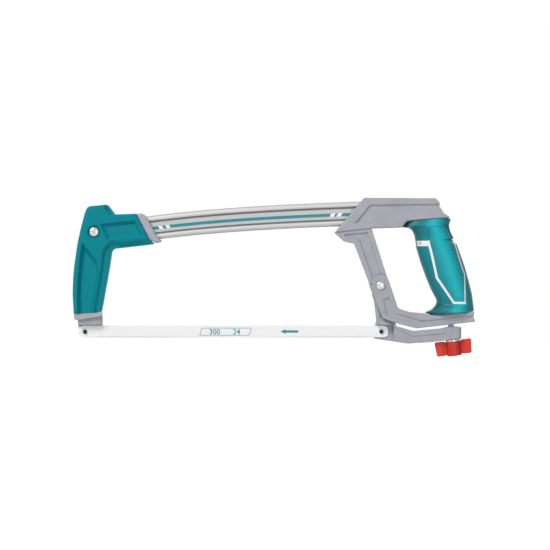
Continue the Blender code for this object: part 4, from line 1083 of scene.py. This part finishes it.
ARM_WEB = [(-5.2, 30.0, 0.5), (-0.6, 13.6, 0.5), (12.0, 10.0, 1.0), (2.0, 26.0), (-2.0, 33.0, 0.5)]
FOOT_STEP = [(10.0, 6.0), (31.1, -4.3), (65.0, -1.3), (65.3, -30.0), (10.0, -30.0)]
REAR_FALL = [(0, 3.0), (0.6, 1.7), (1.4, 0.8), (2.4, 0.2), (3.2, 0)]

foot_features = [
    rounding(foot_rim, radius=1.0),
    shoulder(outline((REAR_PIN, [pad[1], (80.5, 4.8)])), REAR_FALL),
    pocket(outline((REAR_PIN, FOOT_STEP)), depth=0.7, wall=0.6),
]
arm_features = [rounding(lever_arm, radius=0.7), pocket(outline((REAR_PIN, ARM_WEB)), depth=2.8, wall=0.6)]
lever = relief("tension_lever_coated", [foot_rim], -8, 8, powder_coat, foot_features)
joined(lever, relief("lever_arm", [lever_arm], -ARM_HALF, ARM_HALF, powder_coat, arm_features))
blade_recess = outline((REAR_PIN, [(-20.0, 7.3), (12.0, 7.3, 0.5), (13.7, -20.0), (-20.0, -20.0)]))
screw_slot = [(-3.3, -3.3, 2.4), (7.3, -3.3, 2.4), (7.3, 3.3, 2.4), (-3.3, 3.3, 2.4)]
screw_slot = outline(((0, 0), screw_slot))  # long enough for the screw while the lever swings
cut(
    lever,
    plain_plate("blade_recess", blade_recess, -20, SEAT),
    rod("lever_bore", PIVOT, -20, 20, PIVOT_BORE),
    rod("lever_pin_hole", REAR_PIN, 0, 6.5, PIN_RADIUS),
    laid_flat(plain_plate("screw_slot", screw_slot, -25, 5), KNOB_PLACE),
)
finished(lever, "lever", "cast_aluminium", "tension_lever")

# ------------------------------------------------------------------ Wing knob, washer, screw
# A moulded red knob with two wings turns a bright hexagon-headed screw. It bears on a thin
# washer under the lever, and the screw climbs into a square nut inside the handle's bar.

HUB_TOP = -2.1
HUB_BOTTOM = -16.7
HUB_PAINTED_SHADE = [(0.0, 0.84), (4.0, 0.80), (6.4, 0.66), (7.6, 0.72), (9.5, 0.97), (12.0, 1.04)]  # painted shade on the hub, darkest where the wings meet it, outwards from the axis
red_plastic = grained(
    "red moulded plastic with painted shade", (0.72, 0.036, 0.024), 0.4, grain=1100.0, contrast=0.08, depth=0.03)
# painted shade from the hub attribute darkens the knob's colour
toned(red_plastic.node_tree, add(red_plastic.node_tree, "Attribute", attribute_name="hub").outputs["Fac"])

hub = [(0, HUB_TOP), (7.0, HUB_TOP), (7.4, HUB_TOP - 0.5), (7.4, HUB_BOTTOM + 0.8), (6.8, HUB_BOTTOM)]
WING_PLAN = [(0, -1.7), (8.8, -1.7), (12.5, -2.9), (18.9, -3.2, 1.5)]
WING_PLAN += [(x, -y, *radius) for x, y, *radius in WING_PLAN[::-1]]
WING_SIDE = [(0, -4.0), (5.0, -3.9), (9.0, -0.9, 3.0), (18.8, -0.9, 1.6), (17.6, -15.6, 1.4)]
WING_SIDE += [(10.0, -15.6, 3.0), (5.0, -14.3), (0, -14.3)]


def wing_knob():
    """The hub and its wings are blended by remeshing, then hollowed below for the screw's head."""
    knob = turned("wing_knob_moulded", hub + [(0, HUB_BOTTOM)], red_plastic)
    for side in (-1, 1):
        plan = [Vector((side * p.x, side * p.y)) for p in outline(((0, 0), WING_PLAN))]
        shape = [Vector((side * p.x, p.y)) for p in outline(((0, 0), WING_SIDE))]
        wing = plain_plate("wing", shape, -5, 5)
        joined(knob, combined(wing, "INTERSECT", [laid_flat(plain_plate("wing_plan", plan, -1, 18))]))
    blend = knob.modifiers.new("blend", "REMESH")
    blend.mode = "VOXEL"
    blend.voxel_size = 0.35 * MM
    soften = knob.modifiers.new("soften", "SMOOTH")
    soften.factor = 0.5
    soften.iterations = 6
    combined(knob, "UNION", [])
    hole = laid_flat(plain_plate("screw_head_room", circle(Vector((0, 0)), 6.1, 6), 12.4, 20))
    cut(knob, hole, turned("knob_bore", [(0, 5), (3.15, 5), (3.15, -20), (0, -20)]))
    # painted shade on the hub and the roots of its wings, stored at each point
    away = np.array([abs(vertex.co.x) for vertex in knob.data.vertices]) / MM
    marked(knob, "hub", np.interp(away, *zip(*HUB_PAINTED_SHADE)))
    knob.data.transform(KNOB_PLACE)
    return finished(knob, "knob", "red_plastic", "wing_knob")


wing_knob()
ring = [(3.3, -0.3), (7.2, -0.3), (7.4, -0.5), (7.4, -1.6), (7.2, -1.8), (3.3, -1.8), (3.3, -0.3)]
washer = turned("knob_washer_plated", ring, bright_zinc)
washer.data.transform(KNOB_PLACE)
finished(washer, "washer", "bright_steel", "knob_washer")
screw_steel = bare_metal(
    "bright screw steel", (0.86, 0.86, 0.87), 0.4, lines=900.0, contrast=0.08, depth=0.01, metallic=0.4)


def tension_screw():
    """A hexagon head below and a real thread of 1 mm pitch above."""
    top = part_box("tension_screw")[1].z
    length = (top - knob_joint["pos_m"][2]) / MM / knob_up.z - 1.0
    steps, sides, pitch = 8, 32, 1.0
    bottom = -13
    rings = []
    for row in range(int((length - bottom) * steps) + 1):
        height = bottom + row / steps
        ring = []
        for k in range(sides):
            angle = 2 * math.pi * k / sides
            phase = (height / pitch - k / sides) % 1.0
            cut_in = 0.55 * (1 - abs(2 * phase - 1)) if height < length - 0.8 else 0.6
            radius = (3.0 - cut_in) * min(1.0, 0.85 + (length - height) * 0.25)
            ring.append((radius * math.cos(angle), radius * math.sin(angle), height))
        rings.append(ring)
    screw = lofted("tension_screw_threaded", screw_steel, rings)
    hexagon = circle(Vector((0, 0)), 5.77, 6)
    head = relief("screw_head", [hexagon], 12.7, 16.3, screw_steel, [rounding(hexagon, radius=0.5)])
    joined(screw, laid_flat(head))
    screw.data.transform(KNOB_PLACE)
    return finished(screw, "knob", "bright_steel", "tension_screw")


tension_screw()
for node in ("tension_nut", "front_nut"):
    frame["nodes"][node].data.materials.clear()
    frame["nodes"][node].data.materials.append(bright_zinc)

# ------------------------------------------------------------------ Blade
# A strip of hard steel with a pale ground finish, 24 teeth to the inch set alternately left
# and right, a round hole at each end, and a printed arrow that shows which way it cuts.

BLADE_HALF = 0.325
BLADE_TALL = 6.2  # from its pins up and down
BLADE_PAST_PIN = 6.7
pale_steel = bare_metal(
    "pale ground steel", (0.82, 0.82, 0.83), 0.45, lines=2600.0, contrast=0.04, depth=0.004, metallic=0.2)

TEETH = 24  # to the inch
TOOTH_SET = (0.0, 0.17, 0.0, -0.17)  # how far four teeth in a row lean, for each millimetre of depth


def saw_blade():
    """The strip is cut out flat, and then its teeth are bent out in turn."""
    low, high = FRONT_PIN.y - BLADE_TALL, FRONT_PIN.y + BLADE_TALL
    front, rear = FRONT_PIN.x - BLADE_PAST_PIN, REAR_PIN.x + BLADE_PAST_PIN
    pitch = 25.4 / TEETH
    count = int((rear - front - 10.5) / pitch)
    first = (front + rear - count * pitch) / 2
    teeth = []
    for k in range(count):
        tip = first + k * pitch
        teeth += [(tip, low), (tip + 0.45 * pitch, low + 0.5), (tip + 0.96 * pitch, low + 0.7)]
    ends = [(rear, low + 0.7, 4.0), (rear, high, 4.8), (front, high, 5.0), (front, low + 0.7, 5.0)]
    rim = [Vector(p) for p in teeth] + outline(((0, 0), ends)) + [Vector((first, low + 0.7))]
    holes = [circle(pin, 2.2, 40) for pin in (FRONT_PIN, REAR_PIN)]
    root = [Vector((first, low + 1.4)), Vector((first + count * pitch, low + 1.4))]
    root_line = ([(root, False)], lambda points: points[:, 0] * 0)
    blade = relief("blade_ground", [rim, *holes], -BLADE_HALF, BLADE_HALF, pale_steel, [root_line], [])
    for vertex in blade.data.vertices:
        x, z = vertex.co.x / MM, vertex.co.z / MM
        if z < low + 1.2 and first - 1 < x < first + count * pitch + 1:
            tooth = math.floor((x - first) / pitch + 0.5)
            vertex.co.y += TOOTH_SET[tooth % 4] * (low + 1.2 - z) * MM
    return finished(blade, "blade", "blade_steel", "blade")


saw_blade()


def printed(name, shapes):
    """Flat print on the blade's left face."""
    depths = (-BLADE_HALF - INK, -BLADE_HALF + 0.1)
    skins = [[[(x, y, z) for x, z in shape] for y in depths] for shape in shapes]
    finished(lofted(name, teal_ink, *skins), "blade", "blade_steel")


ARROW = REAR_PIN + Vector((-102.0, 0.2))  # its tip
arrow = [(0, 0), (5.0, -2.5), (5.0, -1.2), (17.8, -1.2), (17.8, 1.2), (5.0, 1.2), (5.0, 2.5)]
printed("blade_arrow", [[ARROW + Vector(p) for p in arrow]])
BOX_LEFT, BOX_RIGHT = 117.0, 167.5
BOX_HALF, BOX_LEAN, BOX_LINE = 3.9, 1.2, 0.5
box = [(BOX_LEFT - BOX_LEAN, -BOX_HALF), (BOX_RIGHT - BOX_LEAN, -BOX_HALF)]
box += [(BOX_RIGHT + BOX_LEAN, BOX_HALF), (BOX_LEFT + BOX_LEAN, BOX_HALF)]
box = [FRONT_PIN + Vector(p) for p in box]
inner = grown(box, -BOX_LINE)
box_sides = zip(box, box[1:] + box[:1], inner[1:] + inner[:1], inner)
printed("blade_size_box", list(box_sides))


def printed_numbers(words, left, size):
    """Plain numbers in the box: the length in millimetres and the teeth to the inch."""
    curve = bpy.data.curves.new("numbers", "FONT")
    curve.body = words
    curve.size = size
    curve.align_y = "CENTER"
    curve.offset = 0.1
    curve.extrude = (INK + 0.1) / 2
    text = in_scene("numbers", curve)
    bpy.context.view_layer.update()
    mesh = bpy.data.meshes.new_from_object(text.evaluated_get(bpy.context.evaluated_depsgraph_get()))
    bpy.data.objects.remove(text)
    place = Matrix.Translation((left, -BLADE_HALF + 0.035, FRONT_PIN.y - 0.35))
    mesh.transform(Matrix.Diagonal((MM, MM, MM, 1)) @ place @ Matrix.Rotation(math.pi / 2, 4, "X"))
    finished(new_object("blade_numbers", mesh, teal_ink), "blade", "blade_steel")


printed_numbers("300      24", FRONT_PIN.x + BOX_LEFT + 8.5, 7.6)

# ------------------------------------------------------------------ Studio
# A pale floor below the saw, a white surround, three soft lights and a long lens level with
# the saw. Places and sizes here are in metres.

FLOOR = -0.16
FLOOR_REACH = 4
LOOK_AT = Vector((-0.1741, 0, -0.0071))  # the middle of the picture
LENS = 200
FRAME_WIDTH = 0.5567  # of the picture, measured at the saw


def pale_floor():
    """A matt floor that shows the camera white where nothing shades it."""
    made, tree, shader = new_material("pale floor")
    shader.inputs["Roughness"].default_value = 0.9
    place = add(tree, "TexCoord").outputs["Object"]
    cloud = add(tree, "TexNoise", {"Vector": place, "Scale": 3.0})
    tone = add(tree, "MapRange", {"Value": cloud.outputs["Fac"], "To Min": 0.56, "To Max": 0.60})
    tree.links.new(tone.outputs[0], shader.inputs["Base Color"])
    rays = add(tree, "LightPath").outputs
    depth = add(tree, "SeparateXYZ", {0: place}).outputs["Y"]
    far = add(tree, "MapRange", {
        "Value": depth, "From Min": 0.2, "From Max": 1.6, "To Min": 0.74, "To Max": 0.95})
    seen = maths(tree, "MAXIMUM", rays["Is Camera Ray"], rays["Is Glossy Ray"])
    shader.inputs["Emission Color"].default_value = (1, 1, 1, 1)
    tree.links.new(maths(tree, "MULTIPLY", seen, far.outputs[0]), shader.inputs["Emission Strength"])
    return made


corners = [(-1, -1), (1, -1), (1, 1), (-1, 1)]
corners = [(x * FLOOR_REACH, y * FLOOR_REACH, FLOOR) for x, y in corners]
plane = bpy.data.meshes.new("floor")
plane.from_pydata(corners, [], [(0, 1, 2, 3)])
floor = in_scene("floor", plane)
floor.data.materials.append(pale_floor())

world = bpy.data.worlds.new("white surround")
bpy.context.scene.world = world
world.use_nodes = True
tree = world.node_tree
rays = add(tree, "LightPath").outputs
seen = rays["Is Camera Ray"]
for kind in ("Is Glossy Ray", "Is Transmission Ray"):
    seen = maths(tree, "MAXIMUM", seen, rays[kind])
strength = add(tree, "MapRange", {"Value": seen, "To Min": 0.2, "To Max": 1.0})
tree.nodes["Background"].inputs["Color"].default_value = (1, 1, 1, 1)
tree.links.new(strength.outputs[0], tree.nodes["Background"].inputs["Strength"])

for name, at, size, power in (
    ("key", (-1.3, -1.6, 1.6), 1.1, 46.0),
    ("front", (0.9, -2.5, 0.2), 1.0, 13.5),
    ("back", (0.9, 1.9, 1.5), 1.0, 26.0),
):
    light = bpy.data.lights.new(name, "AREA")
    light.shape = "DISK"
    light.size = size
    light.energy = power
    lamp = in_scene(name, light)
    lamp.location = LOOK_AT + Vector(at)
    lamp.rotation_euler = (-Vector(at)).to_track_quat("-Z", "Y").to_euler()

lens = bpy.data.cameras.new("camera")
lens.lens = LENS
lens.sensor_width = 36
lens.clip_end = 100
camera = in_scene("camera", lens)
camera.location = LOOK_AT - Vector((0, FRAME_WIDTH * LENS / 36, 0))
camera.rotation_euler = (math.pi / 2, 0, 0)
bpy.context.scene.camera = camera
bpy.context.scene.view_settings.view_transform = "Standard"
